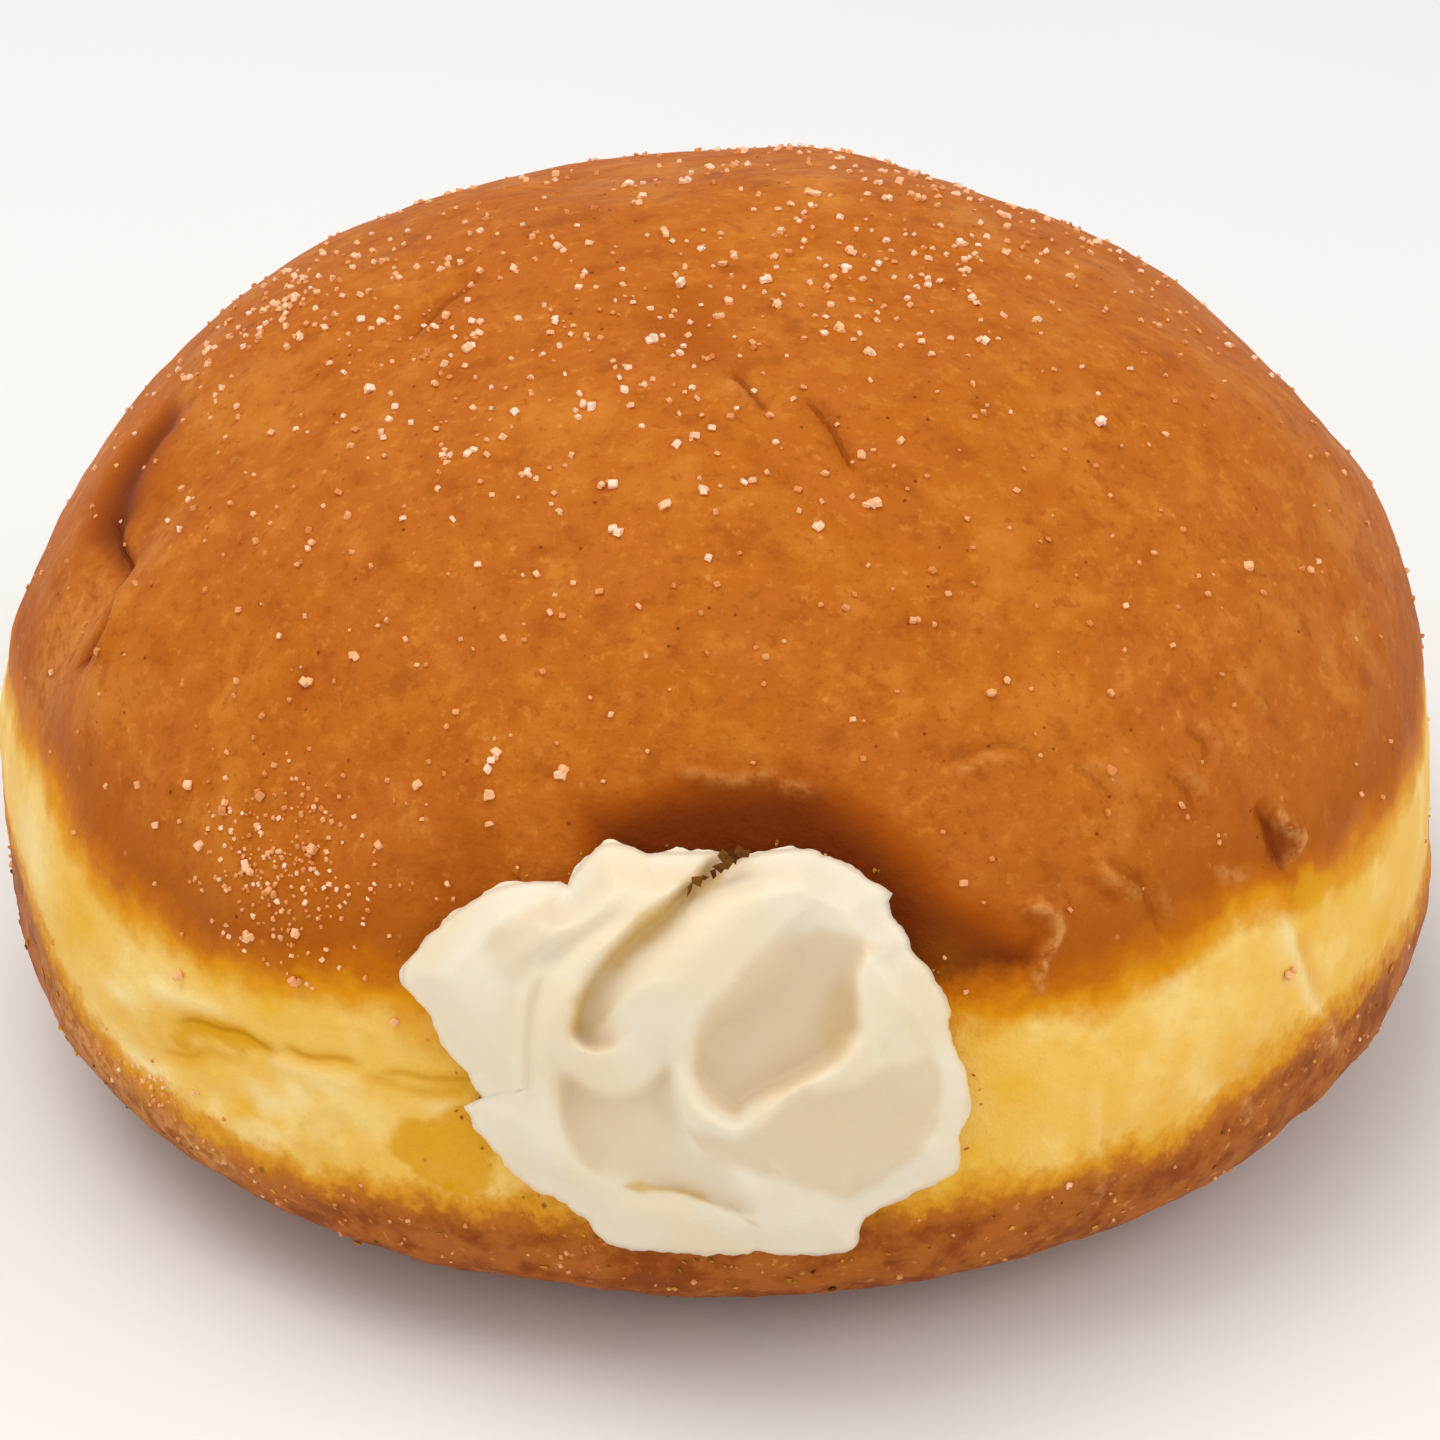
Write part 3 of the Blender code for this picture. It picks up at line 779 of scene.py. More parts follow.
@dataclass
class BunForm:
    """The form of the bun, as the frame's solid has it, with its top's sizes before its underside's."""

    radius: float = 44.0
    heights: Spot = (0.818 * 44.0, 0.352 * 44.0)
    roundnesses: Spot = (2.15, 3.8)
    lump_count: int = 16
    lump_depth: float = 0.08
    lump_wavelengths: Spot = (14.0, 40.0)
    lump_fade_height: float = -9.0
    lump_seed: int = 7
    fold_at: Spot = (-70.0, 33.0)
    fold_length: float = 8.0
    fold_width: float = 2.6
    fold_depth: float = 1.1
    fold_bulge: float = 0.5
    fold_bulge_aside: float = 2.2 * 2.6
    fold_bulge_width: float = 1.6 * 2.6
    hollow_middle: Spot = (0.3, 8.0)
    hollow_radii: Spot = (15.5, 12.0)
    hollow_depth: float = 2.6
    hollow_flatness: float = 1.3
    slide_steps: int = 14
    least_slope: float = 0.25

    def lumps(self, places: Array) -> Array:
        """Works out gentle unevenness, of plane waves that run in many directions.

        Args:
            places: Places, in millimetres.

        Returns:
            Height of the lumps at each place.
        """
        dice = np.random.default_rng(self.lump_seed)
        total = np.zeros(len(places))
        for _ in range(self.lump_count):
            heading = dice.normal(size=3)
            heading /= np.linalg.norm(heading)
            wavelength = dice.uniform(*self.lump_wavelengths)
            phase = dice.uniform(0.0, 2.0 * math.pi)
            total += self.lump_depth * np.sin(places @ heading * (2.0 * math.pi / wavelength) + phase)
        return total * smooth_step(1.0 - places[:, 2] / self.lump_fade_height)

    def side_fold(self, directions: Array) -> Array:
        """Works out the fold in the crust on the left, with a slight bulge beside it.

        Args:
            directions: Unit directions.

        Returns:
            Height of the fold in each direction.
        """
        middle, east, north = axes_at(*self.fold_at)
        run, aside = directions @ north * self.radius, directions @ east * self.radius
        dip = -self.fold_depth * bell(aside / self.fold_width)
        bulge = self.fold_bulge * bell((aside - self.fold_bulge_aside) / self.fold_bulge_width)
        fold = (dip + bulge) * bell(run / self.fold_length)
        return np.where(directions @ middle > 0.0, fold, 0.0)

    def mouth_hollow(self, places: Array) -> Array:
        """Works out the hollow that the crust makes round the mouth.

        Args:
            places: Places, in millimetres.

        Returns:
            Height of the hollow at each place, which is below 0.
        """
        reach = np.sum(((places[:, [0, 2]] - self.hollow_middle) / self.hollow_radii) ** 2, axis=1)
        dip = -self.hollow_depth * np.exp(-(reach ** self.hollow_flatness))
        return np.where(places[:, 1] < 0.0, dip, 0.0)

    def plain(self, directions: Array) -> tuple[Array, Array]:
        """Finds the even bun's surface.

        Args:
            directions: Unit directions.

        Returns:
            Points of the surface, and outward normals there.
        """
        level = np.hypot(directions[:, 0], directions[:, 1])
        up = directions[:, 2] > 0.0
        roundness, height = np.where(up, *self.roundnesses), np.where(up, *self.heights)
        upright = np.abs(directions[:, 2])
        reach = (level ** roundness + upright ** roundness) ** (-1.0 / roundness)
        places = directions * reach[:, None]
        places[:, :2] *= self.radius
        places[:, 2] *= height
        out = (level * reach) ** (roundness - 1.0) / self.radius
        lift = np.sign(directions[:, 2]) * (upright * reach) ** (roundness - 1.0) / height
        level = np.maximum(level, 1e-9)
        normals = np.stack([directions[:, 0] / level * out, directions[:, 1] / level * out, lift], axis=1)
        return places, unit(normals)

    def surface(self, directions: Array, hollow: bool = True) -> tuple[Array, Array]:
        """Finds the uneven bun's surface.

        Args:
            directions: Unit directions.
            hollow: Whether the hollow round the mouth is pressed in.

        Returns:
            Points of the surface, and the outward normals of the even bun there.
        """
        places, normals = self.plain(directions)
        offset = self.lumps(places) + self.side_fold(directions)
        if hollow:
            offset += self.mouth_hollow(places)
        return places + normals * offset[:, None], normals

    def to_directions(self, places: Array) -> Array:
        """Finds the directions in which the even bun has its surface over places.

        Args:
            places: Places, in millimetres.

        Returns:
            Unit directions.
        """
        height = np.where(places[:, 2] > 0.0, *self.heights)
        return unit(places / np.stack([np.full(len(places), self.radius)] * 2 + [height], axis=1))

    def slide(self, places: Array, heading: Array, gap: float, hollow: bool = True) -> Array:
        """Slides places along a heading until they are at a gap outside the bun.

        Args:
            places: Where the places start.
            heading: Unit direction to slide along, either way.
            gap: Distance outside the bun at which they stop.
            hollow: Whether the hollow round the mouth counts.

        Returns:
            The places at that gap.
        """
        places = places.copy()
        for _ in range(self.slide_steps):
            surface, normals = self.surface(self.to_directions(places), hollow)
            miss = np.sum((places - surface) * normals, axis=1) - gap
            slope = np.maximum(normals @ heading, self.least_slope)
            places -= (miss / slope)[:, None] * heading
        return places


@dataclass(frozen=True)
class LeaningPlane:
    """The plane that the dollop lies along, with its first axis to the right and its second upwards."""

    lean: float = math.radians(33.5)
    centre: tuple = (-1.8, -43.2, 7.4)

    def axes(self) -> tuple[Array, Array]:
        """The two axes of the plane, one in each row, and the direction out of it."""
        sine, cosine = math.sin(self.lean), math.cos(self.lean)
        return np.array([(1.0, 0.0, 0.0), (0.0, sine, cosine)]), np.array([0.0, -cosine, sine])

    def spots(self, places: Array) -> Array:
        """Spots of the plane that are nearest to places."""
        return (places - np.array(self.centre)) @ self.axes()[0].T

    def places(self, spots: Array) -> Array:
        """Places of spots of the plane."""
        return np.array(self.centre) + spots @ self.axes()[0]


@dataclass
class Filling:
    """Sizes that the cream and the cavity of the bun share, as the frame's solid has them."""

    columns: int = 64
    inner_rows: int = 10
    mouth_middle: Spot = BunForm.hollow_middle
    mouth_radii: Spot = (8.5, 5.5)
    mouth_depth: float = -43.2 + BunForm.hollow_depth
    pocket_y: float = -3.0
    pocket_z: float = 5.0
    pocket_length: float = 22.0
    pocket_radii: Spot = (25.0, 8.5)
    gap: float = 0.3
    cutter_front: float = -50.0
    cutter_flare: float = 1.0

    def turns(self, columns: int) -> Array:
        """Angles of the columns round a ring."""
        return np.arange(columns) * 2.0 * math.pi / columns

    def ring(self, middle: Spot, radii: Spot, grow: float, depth: float, columns: int) -> Array:
        """Draws an upright oval.

        Args:
            middle: Its middle along X and Z.
            radii: Its radii along X and Z.
            grow: What is added to the radii.
            depth: Where it lies along Y.
            columns: How many corners it has.

        Returns:
            Its corners.
        """
        turns = self.turns(columns)
        return np.stack([middle[0] + (radii[0] + grow) * np.cos(turns), np.full(columns, depth),
                         middle[1] + (radii[1] + grow) * np.sin(turns)], axis=1)

    def mouth_ring(self, grow: float, depth: float, columns: int) -> Array:
        """The outline of the mouth, grown and put at a depth along Y."""
        return self.ring(self.mouth_middle, self.mouth_radii, grow, depth, columns)

    def inner_rings(self, grow: float, columns: int) -> tuple[list[Array], Array]:
        """Makes the neck and the pocket.

        Args:
            grow: How much larger than the cream the rings are.
            columns: Corners in a ring.

        Returns:
            The rings from the mouth inwards, and the point at their end.
        """
        end = self.pocket_y + self.pocket_length + grow
        rings = []
        for row in range(self.inner_rows):
            share = (row + 1.0) / (self.inner_rows + 1.0)
            depth = self.mouth_depth + (end - self.mouth_depth) * math.sin(share * math.pi / 2.0)
            run = depth - self.pocket_y
            bulk = max(1.0 - (run / (self.pocket_length + grow)) ** 2, 0.0)
            neck = 1.0 - float(smooth_step(np.array(run / self.pocket_length + 0.5)))
            radii = [((mouth * neck) ** 4 + pocket ** 4 * bulk ** 2) ** 0.25
                     for mouth, pocket in zip(self.mouth_radii, self.pocket_radii)]
            inward = float(smooth_step(np.array(1.0 + depth / BunForm.radius)))
            x, z = self.mouth_middle
            middle = (x * (1.0 - inward), z + (self.pocket_z - z) * inward)
            rings.append(self.ring(middle, radii, grow, depth, columns))
        return rings, np.array([[0.0, end, self.pocket_z]])

    def ringed_faces(self, rows: int, columns: int) -> list[tuple]:
        """Joins rings into a closed mesh, with a pole before the first ring and one after the last.

        Args:
            rows: Number of rings.
            columns: Corners in a ring.

        Returns:
            Corner numbers of each face.
        """
        first, last = 0, rows * columns + 1
        faces = []
        for k in range(columns):
            after = (k + 1) % columns
            faces.append((first, 1 + after, 1 + k))
            for row in range(rows - 1):
                here, there = 1 + row * columns, 1 + (row + 1) * columns
                faces.append((here + k, here + after, there + after, there + k))
            faces.append((last, last - columns + k, last - columns + after))
        return faces

    def cutter(self, material: Material) -> Piece:
        """Makes what is cut out of the bun for the cream, a gap larger all round.

        Args:
            material: Material of the cut faces.

        Returns:
            The cutter.
        """
        inner, end = self.inner_rings(self.gap, self.columns)
        x, z = self.mouth_middle
        front = np.array([[x, self.cutter_front, z]])
        rings = [self.mouth_ring(self.cutter_flare, self.cutter_front, self.columns)] + inner
        faces = self.ringed_faces(len(rings), self.columns)
        return make_mesh("cream_cutter", np.vstack([front] + rings + [end]), faces, [material])


@dataclass
class Bun:
    """The bun: crust, pale band and lower crust in one piece, hollow for the cream."""

    form: BunForm
    filling: Filling
    squares: int = 136
    skin: float = 2.6
    drawn_to: tuple = (0.0, -0.3, 0.12)
    crease_ends: Spot = (0.2, 0.2)
    crease_reach: float = 4.0
    line_width: float = 0.25
    line_reach: float = 1.6
    line_margin: float = 3.0
    line_far: float = 9.0
    line_ends: Spot = (0.25, 0.25)
    band_depth: float = 0.14
    band_rim: float = 1.4
    band_scale: tuple = (1.0, 1.0, 1.8)
    band_waves: Waves = Waves(0.1, 3.0, 4, 9.0)
    edge_waves: Waves = Waves(0.6, 4.0, 4, 3.0)
    crust_swells: Waves = Waves(0.16, 11.0)
    crust_waves: Waves = Waves(0.12, 3.2, 2, 5.0)
    lower_waves: Waves = Waves(0.1, 1.8, 3, 13.0)
    lower_rim: float = 2.0
    flap_waves: Waves = Waves(1.6, 2.4, 4, 21.0)
    flap_growth: float = 0.5
    # ragged edge of the painted shade where the crust dips into the cream's mouth
    dent_shade_waves: Waves = Waves(0.5, 4.0, 3, 8.0)
    upper_edge: Route = (
        (-170, 10.4), (-140, 10.3), (-105, 10), (-76, 9.8), (-67, 9.7), (-57, 7.9), (-48, 6.9),
        (-39, 6.6), (-32, 7.3), (-25, 8.1), (-10, 8), (0, 7.7), (10, 7.7), (20, 7.8), (27, 7.5),
        (34, 8), (42, 9.2), (49, 8), (58, 8), (66, 8.4), (76, 8.1), (100, 9.2), (140, 10.2),
        (170, 10.4),
    )
    lower_edge: Route = (
        (-170, -0.3), (-140, -0.4), (-105, 0.4), (-72, 0.2), (-64, -0.6), (-57, -3.1), (-49, -4.3),
        (-40, -5.3), (-32, -5.1), (-25, -4.2), (-10, -3.7), (0, -3.2), (20, -3.3), (27, -2.9),
        (34, -3.3), (42, -1.9), (49, -1), (57, -1.1), (66, -2), (76, -2.4), (100, -1.5),
        (140, -0.6), (170, -0.3),
    )
    creases: tuple[Crease, ...] = (
        # the deep fold of the crust at the left, darkened with painted shade
        Crease([(-86, 46), (-84, 41), (-79, 37), (-73, 34.6)], 0.8, 2, Mark.TOAST_AND_SHADE, 0.7),
        Crease([(-80, 35), (-73, 34.3), (-68.5, 33.7), (-66.6, 32.4), (-64.2, 30.5), (-64.9, 27.5),
                (-67, 24)], 0.8, 0.8, Mark.TOAST_AND_SHADE, 0.8, 0.7),
        Crease([(-66, 34.5), (-62.5, 31.5), (-62.5, 27.5)], -0.3, 0.9),
        # creases on the top, one with a ridge beside it
        Crease([(-66.4, 63.2), (-69.6, 65.3), (-71, 66.5), (-73.5, 67.8), (-74.9, 69.4), (-79.5, 72)],
               0.5, 0.7, Mark.TOAST_AND_SHADE, 0.3, 0.3),
        Crease([(1.8, 70.2), (4.9, 68.2), (6.1, 66.9), (8.3, 64.5)], 0.4, 0.5, Mark.TOAST_AND_SHADE, 0.35, 0.35),
        Crease([(0, 69.2), (3.4, 66.8), (6.2, 64.6)], -0.3, 0.6, Mark.PALE, 0.12),
        Crease([(14.6, 66.8), (17.2, 63.1), (17.6, 61.6), (17.9, 59.9), (18.5, 57.6)],
               0.4, 0.5, Mark.TOAST_AND_SHADE, 0.35, 0.4),
        Crease([(3.4, 61.8), (7.3, 58.8), (11.2, 57.2)], 0.25, 0.7, Mark.TOAST_AND_SHADE, 0.2),
        Crease([(-31.5, 81.5), (-12.6, 77.9), (-2.9, 73.5), (2.6, 69.6)], 0.3, 1.8, Mark.TOAST_AND_SHADE, 0.14),
        # wrinkles at the right
        Crease([(18, 33.4), (20.5, 33.9), (22.8, 34.2), (24.5, 34.2), (25.9, 33.6), (26.6, 32.4),
                (26, 30.4)], 0.3, 0.4, Mark.TOAST_AND_SHADE, 0.12, 0.14),
        Crease([(18.8, 32.6), (20.5, 33.1), (22.8, 33.4), (24.5, 33.3), (25.2, 32)],
               -0.3, 0.5, Mark.PALE, 0.14),
        Crease([(41.2, 31.2), (42.8, 28.9), (41.3, 27)], 0.3, 0.4, Mark.TOAST_AND_SHADE, 0.15, 0.2),
        Crease([(42.4, 31.4), (43.9, 28.9), (42.4, 26.8)], -0.3, 0.4, Mark.PALE, 0.12),
        Crease([(29.6, 31.6), (31.6, 29.4), (32.4, 27.6)], 0.25, 0.4, Mark.TOAST_AND_SHADE, 0.12, 0.15),
        Crease([(30.6, 31.9), (32.6, 29.6), (33.3, 28)], -0.25, 0.35, Mark.PALE, 0.14),
        Crease([(37.6, 28.6), (39.5, 26.2), (39.8, 23.8)], 0.3, 0.4, Mark.TOAST_AND_SHADE, 0.15, 0.2),
        Crease([(39, 28.6), (40.6, 26.2), (41, 24)], -0.3, 0.4, Mark.PALE, 0.14),
        Crease([(33, 22.2), (33.9, 18.2), (34.5, 15.6), (35.8, 13.4)], 0.3, 0.4, Mark.TOAST_AND_SHADE, 0.12, 0.14),
        Crease([(34.2, 20.4), (35, 17.6), (35.6, 15.6)], -0.25, 0.35, Mark.PALE, 0.14),
        Crease([(29.5, 23.3), (31, 21.3), (32.3, 20.2), (33.6, 18.8)], -0.4, 0.32, Mark.PALE, 0.24),
        Crease([(30.6, 23.4), (32.2, 21.5), (33.8, 20.2)], 0.25, 0.35, Mark.TOAST_AND_SHADE, 0.25),
        Crease([(28.2, 22.6), (29.9, 20.7), (31.6, 19)], 0.25, 0.4, Mark.TOAST_AND_SHADE, 0.25),
        Crease([(40, 19.1), (41.9, 17.6), (44, 17.2)], -0.35, 0.4, Mark.PALE, 0.28),
        Crease([(40.8, 0.4), (42.1, -3.4), (41.3, -6.2)], -0.3, 0.4, Mark.PALE, 0.3),
        Crease([(41.4, -8.8), (42.4, -12.8), (42.9, -15.8), (42.5, -19.2)], -0.3, 0.4, Mark.PALE, 0.35),
        Crease([(27.9, 4), (28.1, -8.6), (28.7, -17.1), (28.9, -25)], -0.2, 0.35, Mark.PALE, 0.3),
        Crease([(48.6, 33.6), (50, 30.6), (50.2, 28)], -0.25, 0.4, Mark.PALE, 0.12),
        # the wavy ridge over the cream
        Crease([(-4.6, 35), (-1.6, 34.4), (1.3, 33.9), (3.6, 34.3), (6.5, 33), (9.4, 33.2)],
               -0.35, 0.4, Mark.PALE, 0.2),
        # the curl at the right of the cream
        Crease([(22.2, 21.2), (23.5, 21), (24.7, 20.7), (25.7, 19.8), (25.8, 18.4), (25.1, 17.2),
                (24.3, 16), (23.8, 14.7), (23.8, 13.6), (22.2, 13.2)], -0.5, 0.32, Mark.PALE, 0.45),
        Crease([(22.6, 20.4), (24.1, 19.5), (24.3, 18.3), (23.4, 17.1), (22.6, 15.2)],
               0.35, 0.5, Mark.TOAST_AND_SHADE, 0.15),
        # the gash at the right
        Crease([(46, 23), (46.9, 20.6), (47.2, 18.6), (47.4, 16.8), (47.6, 14.4)],
               0.45, 0.8, Mark.TOAST_AND_SHADE, 0.4, 0.3),
        Crease([(47.6, 22.4), (48.1, 20.7), (49, 18.7), (50.1, 17.7), (49.3, 16.9), (48.3, 16.4),
                (48.3, 15.2)], -0.4, 0.3, Mark.PALE),
        # the pale streak that crosses the band
        Crease([(45, 15), (46.4, 11.8), (46.9, 9.6), (47.7, 7), (49, 3.4), (50.7, -1), (53, -9.8),
                (55.6, -18.3)], -0.15, 0.5, Mark.PALE, 0.75),
        Crease([(47.8, 10), (49.4, 5), (51.3, 0)], 0.2, 0.7, Mark.GOLD, 0.4),
        # a small tear at the band's upper edge
        Crease([(34.6, 12.4), (35.1, 10.9), (35.8, 9.7)], -0.2, 0.4, Mark.PALE),
        # tears in the band at the left
        Crease([(-45.6, 0.9), (-42.9, 2.8), (-39.9, 3.4), (-37.6, 4.1), (-35.2, 3.8), (-33, 4.3)],
               0.3, 0.55, Mark.OLIVE, 0.9, 0.55),
        Crease([(-34.2, 4.9), (-31.4, 4.6), (-28.8, 5.4), (-26.2, 5.5)], 0.2, 0.4, Mark.OLIVE, 0.7, 0.3),
        Crease([(-26, 4.9), (-23.6, 5.5), (-21.2, 5.4), (-16.5, 5.9)], 0.18, 0.4, Mark.OLIVE, 0.6, 0.25),
        Crease([(-47.5, -5.9), (-45.5, -4.7), (-43, -2.6), (-41.5, 0.2), (-38.8, 0.9), (-36.1, 2.5)],
               0.15, 0.4, Mark.OLIVE, 0.5, 0.15),
        Crease([(-48, 3.6), (-44, 4.9), (-38.5, 6.2)], -0.2, 0.6, Mark.PALE),
        Crease([(-36, 3), (-31, 3.2), (-26, 3.7)], -0.2, 0.5, Mark.PALE, 0.4),
        Crease([(-27.2, 4.6), (-23.6, 4.1), (-21.2, 4), (-18.2, 4.8)], 0.2, 0.35, Mark.OLIVE, 0.6),
    )
    flaps: tuple[Area, ...] = (
        Area([(-24.1, -0.1), (-21.2, 1.2), (-18, 2.1), (-16.7, -6.2), (-17.8, -12.4), (-20.5, -12.7),
              (-22.6, -11.6), (-23.7, -7.3)], Mark.OLIVE, 0.8),
        Area([(-31.7, -2.3), (-29.3, 1), (-27.8, 1.1), (-27.3, -2.8), (-28.8, -8), (-30.1, -16.7),
              (-31.9, -16.6), (-32.3, -9.6)], Mark.OLIVE, 0.22, 1.4),
        Area([(-37, -5.4), (-34.8, -1.3), (-31.6, 0.2), (-32, -3.7), (-35.3, -8.7)], Mark.PALE, 0.45, 2),
        Area([(-38.8, -13.1), (-35, -9.6), (-34.4, -13.6), (-38.3, -18.2)], Mark.PALE, 0.4, 2),
        Area([(-51.8, -2.9), (-46.6, 2.2), (-40.6, 3.4), (-39.1, 2), (-43.4, -5.6), (-48.1, -10)],
             Mark.OLIVE, 0.35, 3),
        Area([(-45, 1.4), (-41.5, 3.6), (-38.4, 4.2), (-33.6, 4), (-36, 2.6), (-38.5, 2.3), (-41.5, 1.4),
              (-44.4, -1.6)], Mark.OLIVE, 0.75, 0.7),
        Area([(-37.2, -14), (-32.4, -12.6), (-31.8, -20.3), (-36.6, -29.4), (-39, -24)],
             Mark.TOAST_AND_SHADE, 0.6, 1.2),
        Area([(-24.4, 12.4), (-20.4, 11.1), (-17.8, 8.9), (-18.2, 6.4), (-21.2, 7), (-23.8, 9)],
             Mark.GOLD, 0.5, 2),
        Area([(45.3, 23.6), (47.7, 21.6), (48.8, 18.8), (48.4, 16.9), (47.5, 14.9), (46.4, 17.2),
              (45.9, 20.2)], Mark.TOAST_AND_SHADE, 0.55, 0.7),
        Area([(46.6, 14.9), (50.2, 13.9), (54.9, 11.6), (54.2, 10.2), (50.5, 11.2), (47.4, 12.4)],
             Mark.OLIVE, 0.75, 1.2),
    )
    stains: tuple[Stain, ...] = (
        # darker crust and painted shade in the fold at the left
        Stain(-79, 38, (4.2, 5), Mark.TOAST_AND_SHADE, 0.38),
        # a dark patch and an oval spot on the top
        Stain(-14, 75, (3, 2.5), Mark.TOAST_AND_SHADE, 0.2),
        Stain(-38.7, 35.2, (0.8, 1.5), Mark.TOAST_AND_SHADE, 0.3),
        # darker crust and painted shade at the left of the dollop, where the crust dips round it
        Stain(-19.5, 25, (2.5, 4.5), Mark.TOAST_AND_SHADE, 0.3),
        # darker and lighter patches on the top
        Stain(-119, 77, (8, 3.5), Mark.TOAST_AND_SHADE, 0.14),
        Stain(67, 75, (4, 2.5), Mark.TOAST_AND_SHADE, 0.12),
        Stain(39, 69, (5, 3), Mark.TOAST_AND_SHADE, 0.13),
        Stain(-4.5, 72, (4, 2.5), Mark.TOAST_AND_SHADE, 0.11),
        Stain(-25, 53, (3, 1.6), Mark.TOAST_AND_SHADE, 0.16),
        Stain(-10, 79.5, (3, 2), Mark.TOAST_AND_SHADE, 0.14),
        Stain(-71, 24, (3, 6), Mark.PALE, 0.2),
        # painted light: a golden patch beside the dollop that lightens the shade there; and golden crust
        # where the band darkens at its lower right
        Stain(16.9, 17.4, (1.8, 2.2), Mark.GOLD, 0.12),
        Stain(32.8, -3.4, (4, 1.6), Mark.GOLD, 0.3),
        Stain(42.5, -0.4, (4, 1.8), Mark.GOLD, 0.4),
        # pale patches in the band
        Stain(-51.1, 1.2, (1.6, 0.7), Mark.PALE, 0.8),
        Stain(-46.1, 5, (1, 0.5), Mark.PALE, 0.6),
        Stain(-47, -12, (1.2, 1), Mark.PALE, 0.4),
        Stain(-49.6, -12.1, (0.9, 0.9), Mark.PALE, 0.7),
        Stain(-56, -17, (7, 3.6), Mark.PALE, 0.45),
        Stain(-43, -25, (4, 2), Mark.PALE, 0.4),
        Stain(-68, 7, (5, 3.5), Mark.PALE, 0.55),
        Stain(-42.9, 0.6, (0.7, 0.35), Mark.PALE, 0.7),
        Stain(-36.2, -2.9, (1.1, 0.8), Mark.PALE, 0.6),
        Stain(-32.6, 0.6, (1, 0.6), Mark.PALE, 0.7),
        Stain(-30, 2.2, (1, 0.4), Mark.PALE, 0.5),
        Stain(-40.7, -12.5, (0.7, 1.2), Mark.PALE, 0.5),
        Stain(-20.5, 2.8, (1.4, 0.5), Mark.PALE, 0.6),
        Stain(46.2, 9.4, (1, 1.8), Mark.PALE, 0.4),
    )
    # painted shade, with darker crust, where the crust dips into the cream's mouth: the outline of the
    # darkened part on the leaning plane, its strength and its soft edge
    dent_shade_outline: Route = (
        (-7.6, 14.2), (-3.4, 15.4), (0.8, 16.5), (5, 16.5), (9.2, 15.3), (12.6, 12.9), (15.7, 9.6),
        (19.2, 7.8), (21.6, 4.8), (21, 1.4), (12, 0), (0, 4), (-6.4, 8),
    )
    dent_shade_strength: float = 0.86
    dent_shade_edge: float = 4.4

    def sphere(self) -> tuple[Array, Array]:
        """Makes a sphere from the six sides of a cube, finer towards the cream.

        Returns:
            Unit directions, and the corner numbers of its square faces.
        """
        ticks = np.tan(np.linspace(-1.0, 1.0, self.squares + 1) * math.pi / 4.0)
        a, b = np.meshgrid(ticks, ticks, indexing="ij")
        one = np.ones_like(a)
        sides = [(one, a, b), (-one, b, a), (b, one, a), (a, -one, b), (a, b, one), (b, a, -one)]
        points = np.concatenate([np.stack(side, axis=-1).reshape(-1, 3) for side in sides])
        index = np.arange((self.squares + 1) ** 2).reshape(self.squares + 1, -1)
        quads = np.stack([index[:-1, :-1], index[1:, :-1], index[1:, 1:], index[:-1, 1:]], axis=-1)
        faces = np.concatenate([quads.reshape(-1, 4) + side * index.size for side in range(6)])
        _, first, number = np.unique(np.round(points, 6), axis=0, return_index=True, return_inverse=True)
        headings = unit(points[first])
        centre = np.array(self.drawn_to)
        nearness = headings @ centre
        reach = -nearness + np.sqrt(nearness ** 2 + 1.0 - centre @ centre)
        return centre + headings * reach[:, None], number.reshape(-1)[faces]

    def borders(self, places: Array) -> tuple[Array, Array]:
        """Measures to the edges of the band.

        Args:
            places: Places, in millimetres.

        Returns:
            How far each place is above the upper edge, and below the lower edge.
        """
        azimuth = np.degrees(np.arctan2(places[:, 0], -places[:, 1]))
        edges = (self.upper_edge, self.lower_edge)
        upper, lower = [np.interp(azimuth, *curve_through(edge).T, period=360.0) for edge in edges]
        wavy = self.edge_waves.at(places)
        return places[:, 2] - upper + wavy, lower - places[:, 2] + wavy

    def crease_line(self, crease: Crease) -> Array:
        """The route of a crease over the bun."""
        headings = np.array([direction(*spot) for spot in crease.route])
        return curve_through(self.form.surface(headings)[0].tolist(), per_span=6)

    def crease_share(self, crease: Crease, places: Array) -> Array:
        """Works out how much of a crease each place has.

        Args:
            crease: The crease.
            places: Places, in millimetres.

        Returns:
            Shares from 0 to 1.
        """
        line = self.crease_line(crease)
        share = np.zeros(len(places))
        near = round_line(line, self.crease_reach * crease.width, places)
        distance, along = measure_to(line, places[near])
        share[near] = fade_ends(along, self.crease_ends) * bell(distance / crease.width)
        return share

